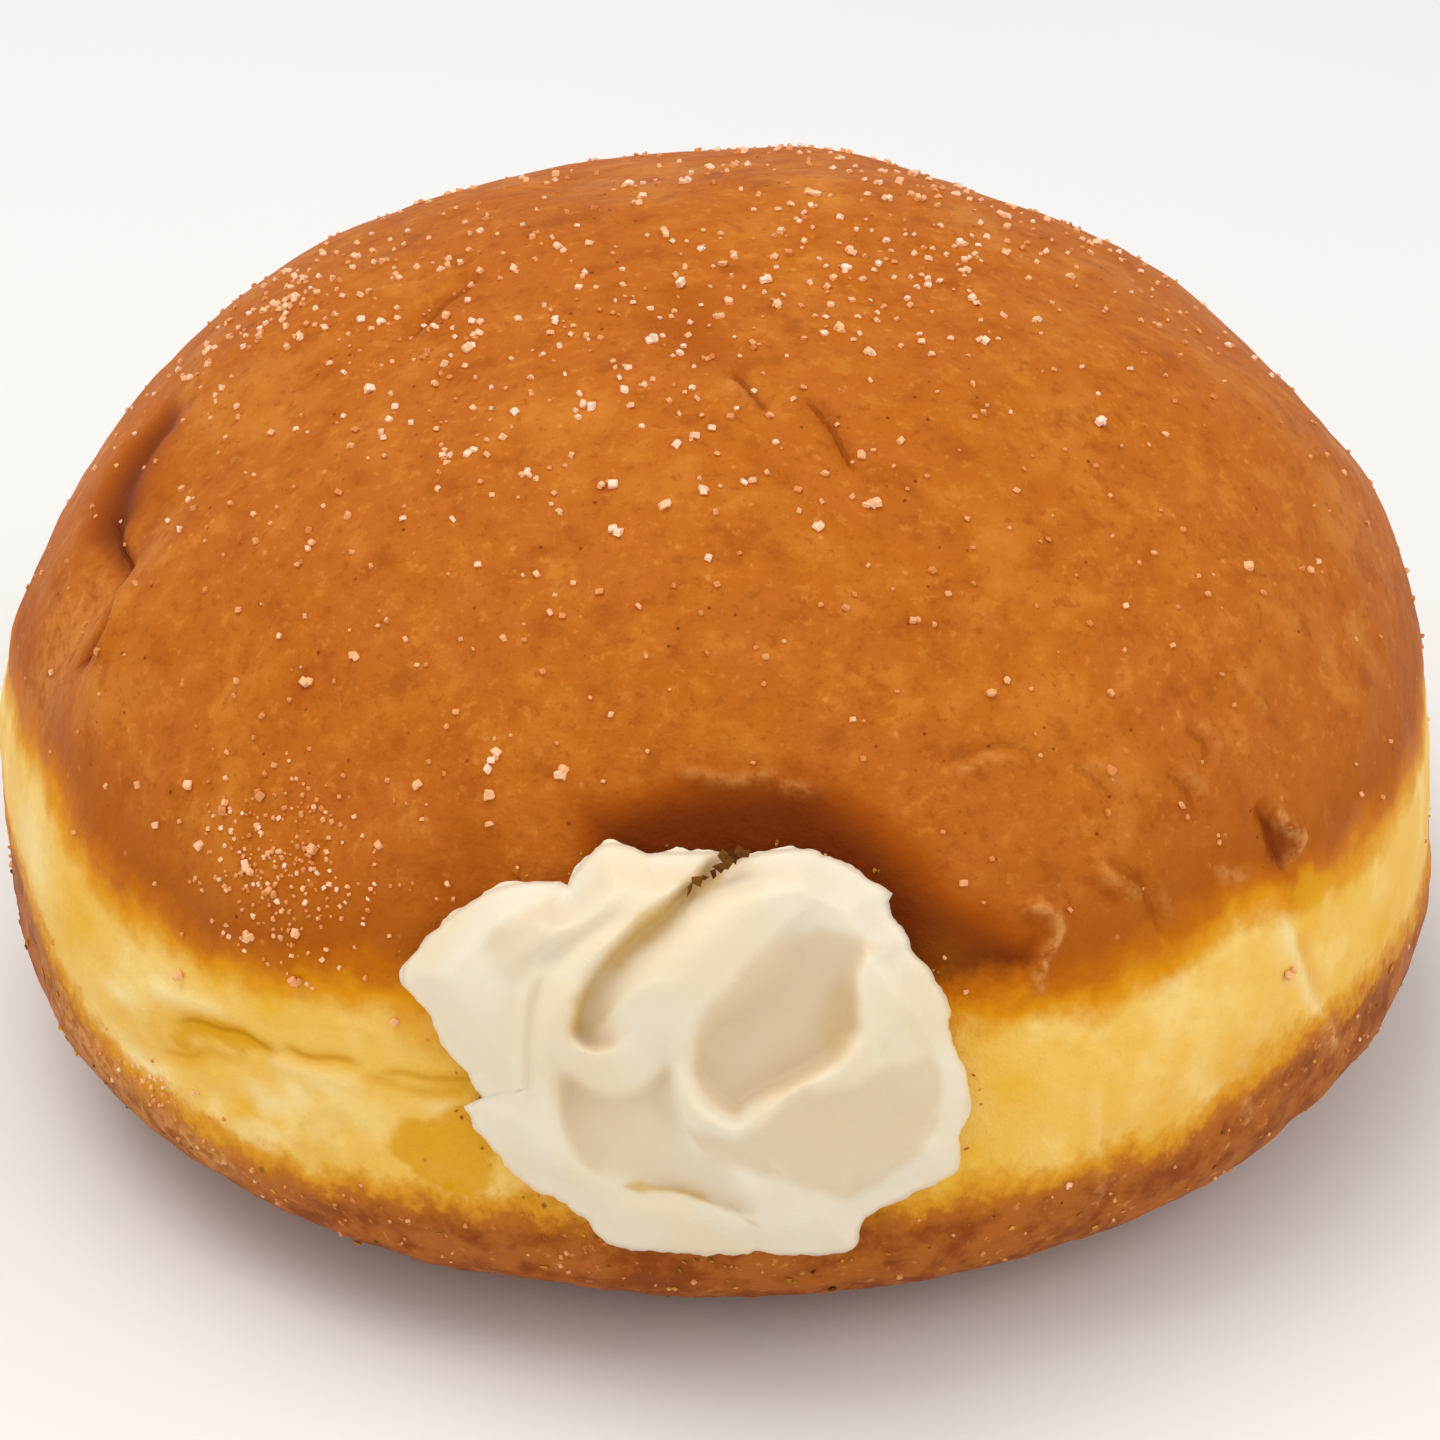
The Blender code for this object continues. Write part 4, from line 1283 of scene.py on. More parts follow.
    def sharp_lines(self, places: Array) -> tuple[Array, Array]:
        """Finds the thin lines along the middles of the sharp creases.

        Args:
            places: Places on the bun.

        Returns:
            How far each place is aside of the nearest line, with its side as the sign and half the
            line's width as the unit, and how strong that line is there.
        """
        aside, sharp = np.full(len(places), self.line_far), np.zeros(len(places))
        for crease in self.creases:
            if crease.sharp == 0.0:
                continue
            line = self.crease_line(crease)
            near = round_line(line, self.line_margin, places)
            distance, along = measure_to(line, places[near])
            middle, ends = line.mean(axis=0), line[-1] - line[0]
            out = middle / np.linalg.norm(middle)
            flat = np.stack([ends, np.cross(out, ends)]) / np.linalg.norm(ends)
            side = measure_to(line @ flat.T, places[near] @ flat.T)[0]
            strength = crease.sharp * fade_ends(along, self.line_ends) * bell(distance / self.line_reach)
            stronger = strength > sharp[near]
            aside[near[stronger]] = (side / self.line_width)[stronger]
            sharp[near[stronger]] = strength[stronger]
        return aside, sharp

    def stain_share(self, stain: Stain, places: Array) -> Array:
        """Works out how much of a stain each place has.

        Args:
            stain: The stain.
            places: Places, in millimetres.

        Returns:
            Shares from 0 to 1.
        """
        middle, normal = self.form.plain(direction(stain.azimuth, stain.latitude)[None])
        east = direction(stain.azimuth + 90.0, 0.0)
        north = np.cross(normal[0], east)
        offset = places - middle[0]
        across = offset @ east / stain.radii[0]
        upward = offset @ north / stain.radii[1]
        depth = offset @ normal[0] / max(stain.radii)
        return np.exp(-(across ** 2 + upward ** 2 + depth ** 2))

    def relief(self, places: Array) -> Array:
        """Works out the fine relief of the crust and the band.

        Args:
            places: Places on the even surface.

        Returns:
            Height of the relief at each place.
        """
        above, below = self.borders(places)
        crusty = smooth_step(np.maximum(above, below) / self.band_rim + 0.3)
        height = self.band_depth * (crusty - 1.0)
        height += self.crust_swells.at(places) * crusty
        height += self.crust_waves.at(places) * crusty
        height += self.band_waves.at(places * self.band_scale) * (1.0 - crusty)
        height += self.lower_waves.at(places) * smooth_step(below / self.lower_rim)
        for crease in self.creases:
            height -= crease.depth * self.crease_share(crease, places)
        return height

    def outside(self, directions: Array) -> tuple[Array, Array]:
        """Finds the bun's skin with all its relief, flat where it rests.

        Args:
            directions: Unit directions.

        Returns:
            Places of the skin, and the outward normals of the even bun there.
        """
        surface, normals = self.form.surface(directions)
        places = surface + normals * self.relief(surface)[:, None]
        places[:, 2] = np.maximum(places[:, 2], -REST_HEIGHT)
        return places, normals

    def build(self) -> Piece:
        """Builds the bun and hollows it out.

        Returns:
            The bun.
        """
        directions, faces = self.sphere()
        skin, crumb = CrustFinish().make(), CrumbFinish().make()
        bun = make_mesh("bun_crust", self.outside(directions)[0], faces.tolist(), [skin, crumb])
        cutter = self.filling.cutter(crumb)
        cut = bun.modifiers.new("hollow", "BOOLEAN")
        cut.operation, cut.solver, cut.object = "DIFFERENCE", "EXACT", cutter
        bpy.context.view_layer.objects.active = bun
        bpy.ops.object.modifier_apply(modifier=cut.name)
        bpy.data.objects.remove(cutter, do_unlink=True)
        self.colour(bun)
        return bun

    def colour(self, bun: Piece) -> None:
        """Gives the cavity its own material, and each corner what the crust's material reads.

        Args:
            bun: The bun.
        """
        places = corners_of(bun)
        surface, normals = self.form.surface(self.form.to_directions(places))
        deep = np.sum((surface - places) * normals, axis=1) > self.skin
        for polygon in bun.data.polygons:
            polygon.material_index = int(any(deep[corner] for corner in polygon.vertices))
        above, below = self.borders(places)
        store(bun, "above", above)
        store(bun, "below", below)
        marks = {mark: np.zeros(len(places)) for mark in Mark}
        front = places[:, 1] < 0.0
        # painted shade, with darker crust, where the crust dips into the cream's mouth
        inside = depth_inside(self.dent_shade_outline, LeaningPlane().spots(places))
        inside += self.dent_shade_waves.at(places)
        marks[Mark.TOAST_AND_SHADE] = self.dent_shade_strength * smooth_step(inside / self.dent_shade_edge) * front
        shares = [(line.mark, line.strength * self.crease_share(line, surface)) for line in self.creases]
        shares += [(stain.mark, stain.strength * self.stain_share(stain, places)) for stain in self.stains]
        azimuth = np.degrees(np.arctan2(surface[:, 0], -surface[:, 1]))
        latitude = np.degrees(np.arcsin(self.form.to_directions(places)[:, 2]))
        spots, ragged = np.stack([azimuth, latitude], axis=1), self.flap_waves.at(surface)
        shares += [(flap.colour, flap.share(spots, ragged, self.flap_growth)) for flap in self.flaps]
        for mark, share in shares:
            marks[mark] = 1.0 - (1.0 - marks[mark]) * (1.0 - share)
        for mark, values in marks.items():
            store(bun, mark.value, values)
        aside, sharp = self.sharp_lines(surface)
        store(bun, "aside", aside)
        store(bun, "sharp", sharp)


@dataclass(frozen=True)
class Lip:
    """A raised lip of the cream or, where its height is negative, a trough.

    Its route is in millimetres on the leaning plane, with one width on each side of it, and it
    fades over a share of the route at each end.
    """

    route: Route
    height: float
    left: float
    right: float
    ends: Spot

    def rise(self, spots: Array) -> Array:
        """Works out the lip's height.

        Args:
            spots: Spots of the leaning plane.

        Returns:
            Height that the lip adds at each spot.
        """
        rise = np.zeros(len(spots))
        near = close_to(self.route, 2.6 * max(self.left, self.right), spots)
        distance, place = measure_to(curve_through(self.route), spots[near])
        width = np.where(distance > 0.0, self.left, self.right)
        rise[near] = self.height * fade_ends(place, self.ends) * bell(distance / width)
        return rise


@dataclass(frozen=True)
class Ledge:
    """Cream that drops at the left of a route, over a narrow edge, and comes back over a reach."""

    route: Route
    drop: float
    edge: float
    reach: float
    ends: Spot

    def rise(self, spots: Array) -> Array:
        """Works out the ledge's height.

        Args:
            spots: Spots of the leaning plane.

        Returns:
            Height that the ledge adds at each spot, which is below 0.
        """
        rise = np.zeros(len(spots))
        near = close_to(self.route, 2.6 * self.reach, spots)
        distance, place = measure_to(curve_through(self.route), spots[near])
        left = np.maximum(distance, 0.0)
        fall = smooth_step(left / self.edge) * bell(left / self.reach)
        rise[near] = -self.drop * fade_ends(place, self.ends) * fall
        return rise


@dataclass(frozen=True)
class Bowl:
    """A round hollow in the cream, with a crisp rim on the right of a route and a soft far side.

    The route runs round it with the hollow on its left, and an oval says how far the hollow goes.
    The rim is soft where the route starts.
    """

    route: Route
    drop: float
    edge: float
    soft_edge: float
    soft_share: float
    centre: Spot
    radii: Spot
    turn: float
    flatness: float

    def rise(self, spots: Array) -> Array:
        """Works out the hollow's height.

        Args:
            spots: Spots of the leaning plane.

        Returns:
            Height that the hollow adds at each spot, which is below 0.
        """
        distance, place = measure_to(curve_through(self.route), spots)
        edge = self.edge + self.soft_edge * (1.0 - smooth_step(place / self.soft_share))
        cosine, sine = math.cos(math.radians(self.turn)), math.sin(math.radians(self.turn))
        offset = spots - np.array(self.centre)
        along = (offset[:, 0] * cosine + offset[:, 1] * sine) / self.radii[0]
        across = (offset[:, 1] * cosine - offset[:, 0] * sine) / self.radii[1]
        oval = np.exp(-((along ** 2 + across ** 2) ** self.flatness))
        return -self.drop * smooth_step(distance / edge) * oval


@dataclass
class Cream:
    """The cream: a folded dollop, the neck in the bun's mouth and the pocket inside."""

    form: BunForm
    filling: Filling
    columns: int = 400
    face_rows: int = 130
    rim_rows: int = 22
    face_share: float = 0.86
    tuck_share: float = 0.965
    evening: int = 9
    back_rows: int = 8
    plane: LeaningPlane = LeaningPlane()
    edge_height: float = 2.8
    crown: float = 2.2
    crown_radii: Spot = (17.0, 12.5)
    rim_width: float = 0.4
    taper_width: float = 2.6
    thin_share: float = 0.45
    grid_half: Spot = (18.0, 14.0)
    grid_step: float = 0.08
    softness: float = 0.16
    wide_blur: float = 1.5
    even_share: float = 0.55
    rim_waves: Waves = Waves(0.3, 1.6, 4, 2.0)
    tone_waves: Waves = Waves(0.4, 3.0, 4, 6.0)
    tone_growth: float = 0.4
    # painted shade: tan that grows with how deep a spot lies among its neighbours
    least_painted_shade: float = 0.15
    painted_shade_depth: float = 1.4
    outline: Route = (
        (-15.3, 3.8), (-14, 5.8), (-11.9, 7.5), (-9.8, 8.6), (-6.9, 9), (-6.4, 8.7), (-4.4, 10.8),
        (-1.5, 10.4), (1.6, 10.4), (2.3, 10), (4.7, 10.5), (7.2, 10.4), (10.8, 8.3), (10.7, 7.6),
        (12.2, 5.3), (13.9, 2.5), (14.2, 0.5), (15.2, -2), (14.9, -4.5), (14.5, -6.8), (12.7, -7.7),
        (9.7, -9.3), (8.9, -11), (4.7, -11.2), (-3.6, -10.8), (-6, -8.9), (-9.2, -7),
        (-11.4, -4.3), (-12.1, -3.1), (-11.2, -2.5), (-12.9, -0.2), (-13.9, 1.8),
    )
    crest_route: Route = (
        (2.6, 11.4), (1.4, 10.1), (0.5, 8.9), (-0.6, 8.2), (-1.8, 7.1), (-3.3, 5.9), (-4.4, 4.8),
        (-5.2, 3.8), (-5.7, 2.6), (-5.9, 1.7), (-6, 0.8), (-5.5, 0.1), (-4.7, -0.2), (-3.6, 0),
        (-2.4, 0.8),
    )
    bowl_route: Route = (
        (3.6, 4.6), (2.4, 3.4), (1.4, 2.5), (0.7, 1.6), (0.3, 0.4), (0.2, -1.1), (0.7, -2.3),
        (1.6, -3.2), (2.6, -3.7), (3.6, -3.1), (5.1, -2.3), (6.7, -1.5), (7.9, -0.8), (8.7, 0.1),
        (9.2, 0.9), (9.1, 2.3), (9.1, 3.5), (9.6, 4.6), (10.2, 5.4),
    )
    folds: tuple[Lip | Ledge | Bowl, ...] = (
        # the crest, and the long groove that it curls round
        Lip(crest_route, 0.6, 0.35, 1.2, (0.08, 0.2)),
        Ledge(crest_route, 1.3, 0.4, 1.9, (0.06, 0.25)),
        # the step down from the hook to the lower trough
        Ledge([(-0.6, 0.6), (-1.3, -0.9), (-3.1, -2), (-4.9, -1.9), (-6.1, -1), (-6.7, 0.3)],
              0.7, 0.6, 2.2, (0.15, 0.2)),
        # the round hollow's rim, the thin lip round it and the crease outside that
        Bowl(bowl_route, 1.9, 0.8, 1.4, 0.3, (4.9, 0.9), (6.2, 5.2), 32, 1.6),
        Lip([(-0.3, 0.6), (-0.3, -1.4), (0.3, -2.9), (1.4, -3.9), (2.7, -4.3), (4.1, -3.5), (5.9, -2.2),
             (7.7, -1.5), (8.7, -0.6), (9.7, 0.7), (9.8, 2.6)], 0.6, 0.35, 0.5, (0.12, 0.3)),
        Ledge([(1.6, -5.2), (0.2, -4.2), (-0.3, -2.9), (-0.6, -1.2), (-0.6, 0), (-0.3, 1)],
              0.7, 0.35, 1.8, (0.3, 0.3)),
        # the tongue between the hollow and the groove
        Lip([(7, 9.8), (2.9, 7.4), (-0.2, 4.4), (-1.7, 2.1), (-2.5, 0.5)], 0.7, 2, 2.4, (0.1, 0.25)),
        # the shallow hollow of the left lobe, and the streaks beside it
        Ledge([(-4.8, 8.6), (-6.8, 8.1), (-8.5, 7.7), (-9.8, 6.8), (-10.9, 5.4), (-11.2, 4)],
              0.45, 0.5, 2, (0.3, 0.3)),
        Lip([(-7.8, 3.9), (-5.5, 5.7), (-3.6, 6.8), (-2.6, 7.7)], -0.45, 0.6, 0.6, (0.2, 0.3)),
        Lip([(-9.4, 4.2), (-7.6, 5.6), (-4.9, 6.9), (-2.6, 8.7)], 0.3, 0.6, 0.7, (0.2, 0.3)),
        # the thin line that runs down to the left edge
        Lip([(-7.7, 4.5), (-8.4, 2.7), (-8.6, 1.3), (-8.8, -0.8), (-8.8, -3.2)],
            0.3, 0.3, 0.3, (0.25, 0.1)),
        Lip([(-7.2, 4.4), (-7.9, 2.6), (-8.1, 1.2), (-8.3, -0.8), (-8.4, -3)],
            -0.3, 0.3, 0.3, (0.25, 0.2)),
        # the upright fold, and the step from it to the lower trough
        Lip([(-5.6, 4.2), (-7.2, 1.3), (-7.5, -2), (-7.2, -5.4), (-5.6, -7.6), (-3.1, -8.7)],
            0.4, 0.8, 1, (0.2, 0.3)),
        Ledge([(-6.4, -0.2), (-6.7, -1.8), (-6.8, -3.7), (-6.2, -5.6), (-5, -6.9), (-3.1, -7.6)],
              0.8, 0.7, 3, (0.2, 0.3)),
        # the crease at the end of the lower trough
        Ledge([(-3.6, -7.1), (-1.9, -7.4), (-0.2, -7.7), (1.2, -8.2), (2.7, -8.8), (3.8, -9.3)],
              0.75, 0.2, 0.9, (0.4, 0.2)),
        # the broad flat below the hollow, and the rolled edge beside it
        Ledge([(12.2, -6.1), (13.2, -4.8), (13.7, -3.4), (13.6, -0.6), (12.6, 1.2), (11.4, 3)],
              0.5, 0.5, 2.6, (0.2, 0.2)),
        Lip([(4.6, -4.4), (8.4, -3), (12, -2.2)], -0.35, 1.6, 2.4, (0.3, 0.2)),
        # the fold that runs down from under the hollow, and the rolled edge at the bottom
        Lip([(-0.1, -2.9), (0.7, -5), (1.9, -6.2), (3.4, -7.2), (5.2, -8)], 0.4, 0.6, 1.4, (0.3, 0.4)),
        Lip([(-5.2, -8.7), (-1.5, -8.9), (2.7, -9.9), (7.9, -10)], 0.5, 0.8, 1.5, (0.2, 0.2)),
        # little flakes and nicks
        Lip([(4.1, -5.9), (4.8, -6.3), (5.6, -7)], 0.3, 0.2, 0.3, (0.3, 0.3)),
        Lip([(8.2, -6.8), (8.4, -7.9)], 0.25, 0.25, 0.25, (0.3, 0.3)),
        Lip([(8.9, -6.8), (9.4, -8)], -0.3, 0.2, 0.25, (0.3, 0.3)),
        Lip([(13.3, -3.4), (13.1, -4.3), (12.5, -4.9)], -0.35, 0.25, 0.25, (0.2, 0.3)),
        Lip([(12.5, -1), (12.3, -1.7)], -0.25, 0.2, 0.2, (0.3, 0.3)),
        Lip([(10.5, 0.5), (10.2, -0.5)], -0.25, 0.2, 0.3, (0.3, 0.3)),
        # the little spur at the left
        Lip([(-12.6, -2.7), (-11.2, -2.9), (-9.6, -3)], 0.35, 0.3, 0.3, (0.1, 0.4)),
        Lip([(-12.2, -3.3), (-10.9, -3.4), (-9.8, -3.4)], -0.4, 0.25, 0.25, (0.1, 0.4)),
    )
    groove_outline: Route = (
        (1.4, 10.1), (0.5, 8.9), (-0.6, 8.2), (-1.8, 7.1), (-3.3, 5.9), (-4.4, 4.8), (-5.2, 3.8),
        (-5.7, 2.6), (-6, 0.8), (-5.5, 0.1), (-4.7, -0.2), (-3.7, 0.2), (-3.6, 1.9), (-3.4, 3.4),
        (-2.5, 4.9), (-1.2, 6.1), (0.9, 7.8), (2.4, 9.8),
    )
    # painted shade in tan over the round hollow, the troughs, the left lobe and the groove, and in ochre
    # along the groove, by the hollow's right wall and in the bottom crease; and the brown seam at the
    # groove's top
    painted_shade_and_seam_areas: tuple[Area, ...] = (
        Area(bowl_route + ((8.3, 6.2), (6.2, 6.1)), Tone.TAN, 0.75),
        Area([(4.2, -3.8), (6, -2.3), (8.4, -1.9), (10.6, -1), (13.3, -0.6), (13.5, -3.4), (12.8, -4.8),
              (11.8, -6.3), (9.6, -8), (7.8, -8.3), (5.1, -7.2), (3.2, -6.6), (1, -5.6), (0, -4.1),
              (2.4, -4.8)], Tone.TAN, 0.7, 0.8),
        Area([(-6.6, -1.4), (-5, -2.3), (-3, -2.4), (-1, -1.4), (-0.7, -2.6), (0.2, -4.6), (2.4, -6.3),
              (3.4, -8.7), (0.3, -7.8), (-3.2, -7), (-5.6, -5.3), (-6.7, -3.4)], Tone.TAN, 0.55, 1.2),
        Area([(-10.6, 5.4), (-9.6, 6.8), (-8.4, 7.5), (-6.6, 7.6), (-6.4, 6), (-8.8, 3.6)],
             Tone.TAN, 0.5, 1.4),
        Area(groove_outline, Tone.TAN, 0.5, 1.1),
        Area([(1, 9.6), (-0.6, 8.2), (-1.8, 7.1), (-3.3, 5.9), (-4.4, 4.8), (-5.2, 3.8), (-5.9, 2.2),
              (-6.1, 0.8), (-5.4, 0.9), (-4.9, 2.4), (-3.6, 4.1), (-2, 5.7), (-0.2, 7.3), (1.6, 9)],
             Tone.PAINTED_OCHRE_SHADE, 0.8),
        Area([(7.7, -0.6), (8.8, 0.5), (8.9, 3.3), (7.8, 3.4), (6.8, 1)], Tone.PAINTED_OCHRE_SHADE, 0.3, 1.2),
        Area([(3.4, 11), (1.6, 10.4), (0.3, 9), (-0.9, 7.9), (-0.3, 7.6), (1.6, 9.1), (3.6, 10.6)],
             Tone.SEAM, 0.5),
        Area([(-3.2, -7.3), (-0.2, -7.8), (2.7, -8.9), (3.7, -9.4), (2.2, -8.6), (0.2, -7.4)],
             Tone.PAINTED_OCHRE_SHADE, 0.8, 0.4),
    )

    def fold_height(self, spots: Array) -> Array:
        """Adds up the dollop's height over the bun, before its rim is rounded off.

        Args:
            spots: Spots of the leaning plane.

        Returns:
            Height at each spot.
        """
        across, upward = (spots / self.crown_radii).T ** 2
        height = self.edge_height + self.crown * np.clip(1.0 - across - upward, 0.0, 1.0)
        for fold in self.folds:
            height += fold.rise(spots)
        return height

    def soften(self, grid: Array, blur: float) -> Array:
        """Blurs a grid of heights.

        Args:
            grid: The grid.
            blur: Reach of the blur, in millimetres.

        Returns:
            The blurred grid.
        """
        reach = 3.0 * blur / self.grid_step
        taps = np.arange(-math.ceil(reach), math.ceil(reach) + 1)
        weights = np.exp(-0.5 * (taps * self.grid_step / blur) ** 2)
        weights /= weights.sum()
        for axis in (0, 1):
            rolled = [weight * np.roll(grid, tap, axis) for tap, weight in zip(taps, weights)]
            grid = sum(rolled)
        return grid

    @cached_property
    def grids(self) -> tuple[Array, Array, Array]:
        """Works out the dollop on a fine grid of its leaning plane.

        Returns:
            The softened height of the folds, how deep each spot lies among its neighbours, and the
            softened distance inside the outline.
        """
        wide, tall = (np.arange(-half, half, self.grid_step) for half in self.grid_half)
        grid = np.stack(np.meshgrid(wide, tall, indexing="ij"), axis=-1).reshape(-1, 2)
        shape = (len(wide), len(tall))
        inside = depth_inside(self.outline, grid)
        folds = self.soften(self.fold_height(grid).reshape(shape), self.softness)
        depth = self.soften(folds, self.wide_blur) - folds
        return folds, depth, self.soften(inside.reshape(shape), self.softness)

    def sample(self, grid: Array, spots: Array) -> Array:
        """Reads a grid of values between its points.

        Args:
            grid: The values.
            spots: Spots of the leaning plane.

        Returns:
            The value at each spot.
        """
        places = (spots + self.grid_half) / self.grid_step
        x, y = np.clip(places, 0, np.array(grid.shape) - 1.001).T
        i, j = x.astype(int), y.astype(int)
        u, v = x - i, y - j
        near = grid[i, j] * (1 - v) + grid[i, j + 1] * v
        far = grid[i + 1, j] * (1 - v) + grid[i + 1, j + 1] * v
        return near * (1 - u) + far * u

    def rim_line(self) -> Array:
        """Draws the dollop's outline, a little ragged.

        Returns:
            Its corners at even angles of the leaning plane.
        """
        line = curve_through(self.outline, closed=True)
        angles, reaches = np.arctan2(line[:, 1], line[:, 0]), np.hypot(line[:, 0], line[:, 1])
        turns = self.filling.turns(self.columns)
        reach = np.interp(turns, angles, reaches, period=2.0 * math.pi)[:, None]
        headings = np.column_stack([np.cos(turns), np.sin(turns), np.zeros(self.columns)])
        reach += self.rim_waves.at(reach * headings)[:, None]
        return reach * headings[:, :2]

    def place(self, spots: Array, height: Array, gap: float, hollow: bool = False) -> Array:
        """Places over spots of the leaning plane, at a height over the bun."""
        outward = self.plane.axes()[1]
        return self.form.slide(self.plane.places(spots), outward, gap, hollow) + height[:, None] * outward

    def covers(self, places: Array, margin: float) -> Array:
        """Tells which places are under the dollop or within a margin of it."""
        return (places[:, 1] < 0.0) & (depth_inside(self.outline, self.plane.spots(places)) > -margin)

    def face_places(self, spots: Array) -> Array:
        """Places of the dollop's face over spots well inside its rim."""
        return self.place(spots, self.sample(self.grids[0], spots), self.filling.gap)

    def face_spots(self, rim: Array) -> tuple[Array, Array]:
        """Spreads the face's corners from its middle to its rim.

        Args:
            rim: Corners of the outline.

        Returns:
            Spots of the leaning plane, and how far each of them is from the rim.
        """
        shares = np.concatenate([
            self.face_share * (np.arange(self.face_rows) + 1.0) / self.face_rows,
            self.face_share + (1.0 - self.face_share) * (np.arange(self.rim_rows) + 1.0) / self.rim_rows,
        ])
        shifts = range(-self.evening, self.evening + 1)
        even = np.mean([np.roll(rim, shift, axis=0) for shift in shifts], axis=0)
        ragged = smooth_step((shares - self.even_share) / (1.0 - self.even_share))
        spots = np.vstack([np.zeros((1, 2))] + [
            share * (even * (1.0 - part) + rim * part) for share, part in zip(shares, ragged)])
        reach = np.concatenate([[0.0], np.repeat(shares, self.columns)])
        room = np.concatenate([[np.hypot(*rim[0])], np.tile(np.hypot(rim[:, 0], rim[:, 1]), len(shares))])
        inside = np.maximum(self.sample(self.grids[2], spots), 0.0)
        return spots, np.minimum(inside, (1.0 - reach) * room)

    def face(self, spots: Array, to_rim: Array) -> Array:
        """Raises the face over the bun, with its rim rounded off.

        Args:
            spots: The face's corners on the leaning plane.
            to_rim: How far each of them is from the rim.

        Returns:
            Places of the corners.
        """
        bare = np.clip(to_rim / self.rim_width, 0.0, 1.0)
        full = smooth_step(to_rim / self.taper_width)
        thickness = self.thin_share * np.sqrt(1.0 - (1.0 - bare) ** 2) + (1.0 - self.thin_share) * full
        return self.place(spots, self.sample(self.grids[0], spots) * thickness, self.filling.gap)

    def back_rings(self, rim: Array) -> list[Array]:
        """Makes the rings behind the face, from under its rim in to the mouth.

        Args:
            rim: Corners of the outline.

        Returns:
            The rings.
        """
        tucked = self.place(rim * self.tuck_share, np.zeros(self.columns), self.filling.gap, hollow=True)
        mouth = self.form.slide(self.filling.mouth_ring(0.0, self.plane.centre[1], self.columns),
                                np.array([0.0, -1.0, 0.0]), self.filling.gap)
        rings = []
        for row in range(self.back_rows):
            share = row / self.back_rows
            directions = self.form.to_directions(tucked * (1.0 - share) + mouth * share)
            surface, normals = self.form.surface(directions)
            rings.append(surface + normals * self.filling.gap)
        return rings + [mouth]

    def build(self) -> Piece:
        """Builds the cream as one closed piece.

        Returns:
            The cream.
        """
        rim = self.rim_line()
        spots, to_rim = self.face_spots(rim)
        inner, end = self.filling.inner_rings(0.0, self.columns)
        corners = np.vstack([self.face(spots, to_rim)] + self.back_rings(rim) + inner + [end])
        faces = self.filling.ringed_faces((len(corners) - 2) // self.columns, self.columns)
        cream = make_mesh("cream_dollop", corners, faces, [CreamFinish().make()])
        self.colour(cream, spots)
        return cream

    def colour(self, cream: Piece, spots: Array) -> None:
        """Gives each corner how much painted shade it takes on, in tan and ochre, and how brown its seam is.

        Args:
            cream: The finished piece, whose first corners are the face's.
            spots: The face's corners on the leaning plane.
        """
        tones = {tone: np.zeros(len(cream.data.vertices)) for tone in Tone}
        depth = self.sample(self.grids[1], spots)
        # painted shade: tan where a spot lies deeper than its neighbours
        tones[Tone.TAN][:len(spots)] = smooth_step(self.least_painted_shade + depth / self.painted_shade_depth)
        wavy = self.tone_waves.at(np.column_stack([spots, np.zeros(len(spots))]))
        for shade in self.painted_shade_and_seam_areas:
            tone = tones[shade.colour][:len(spots)]
            tone[:] = 1.0 - (1.0 - tone) * (1.0 - shade.share(spots, wavy, self.tone_growth))
        for tone, values in tones.items():
            store(cream, tone.value, values)


@dataclass(frozen=True)
class Patch:
    """A patch of sugar on the crust: its spread is in degrees of azimuth or latitude."""

    azimuth: float
    latitude: float
    spread: float
    count: int
    amber: float = 0.4
    scale: float = 1.0


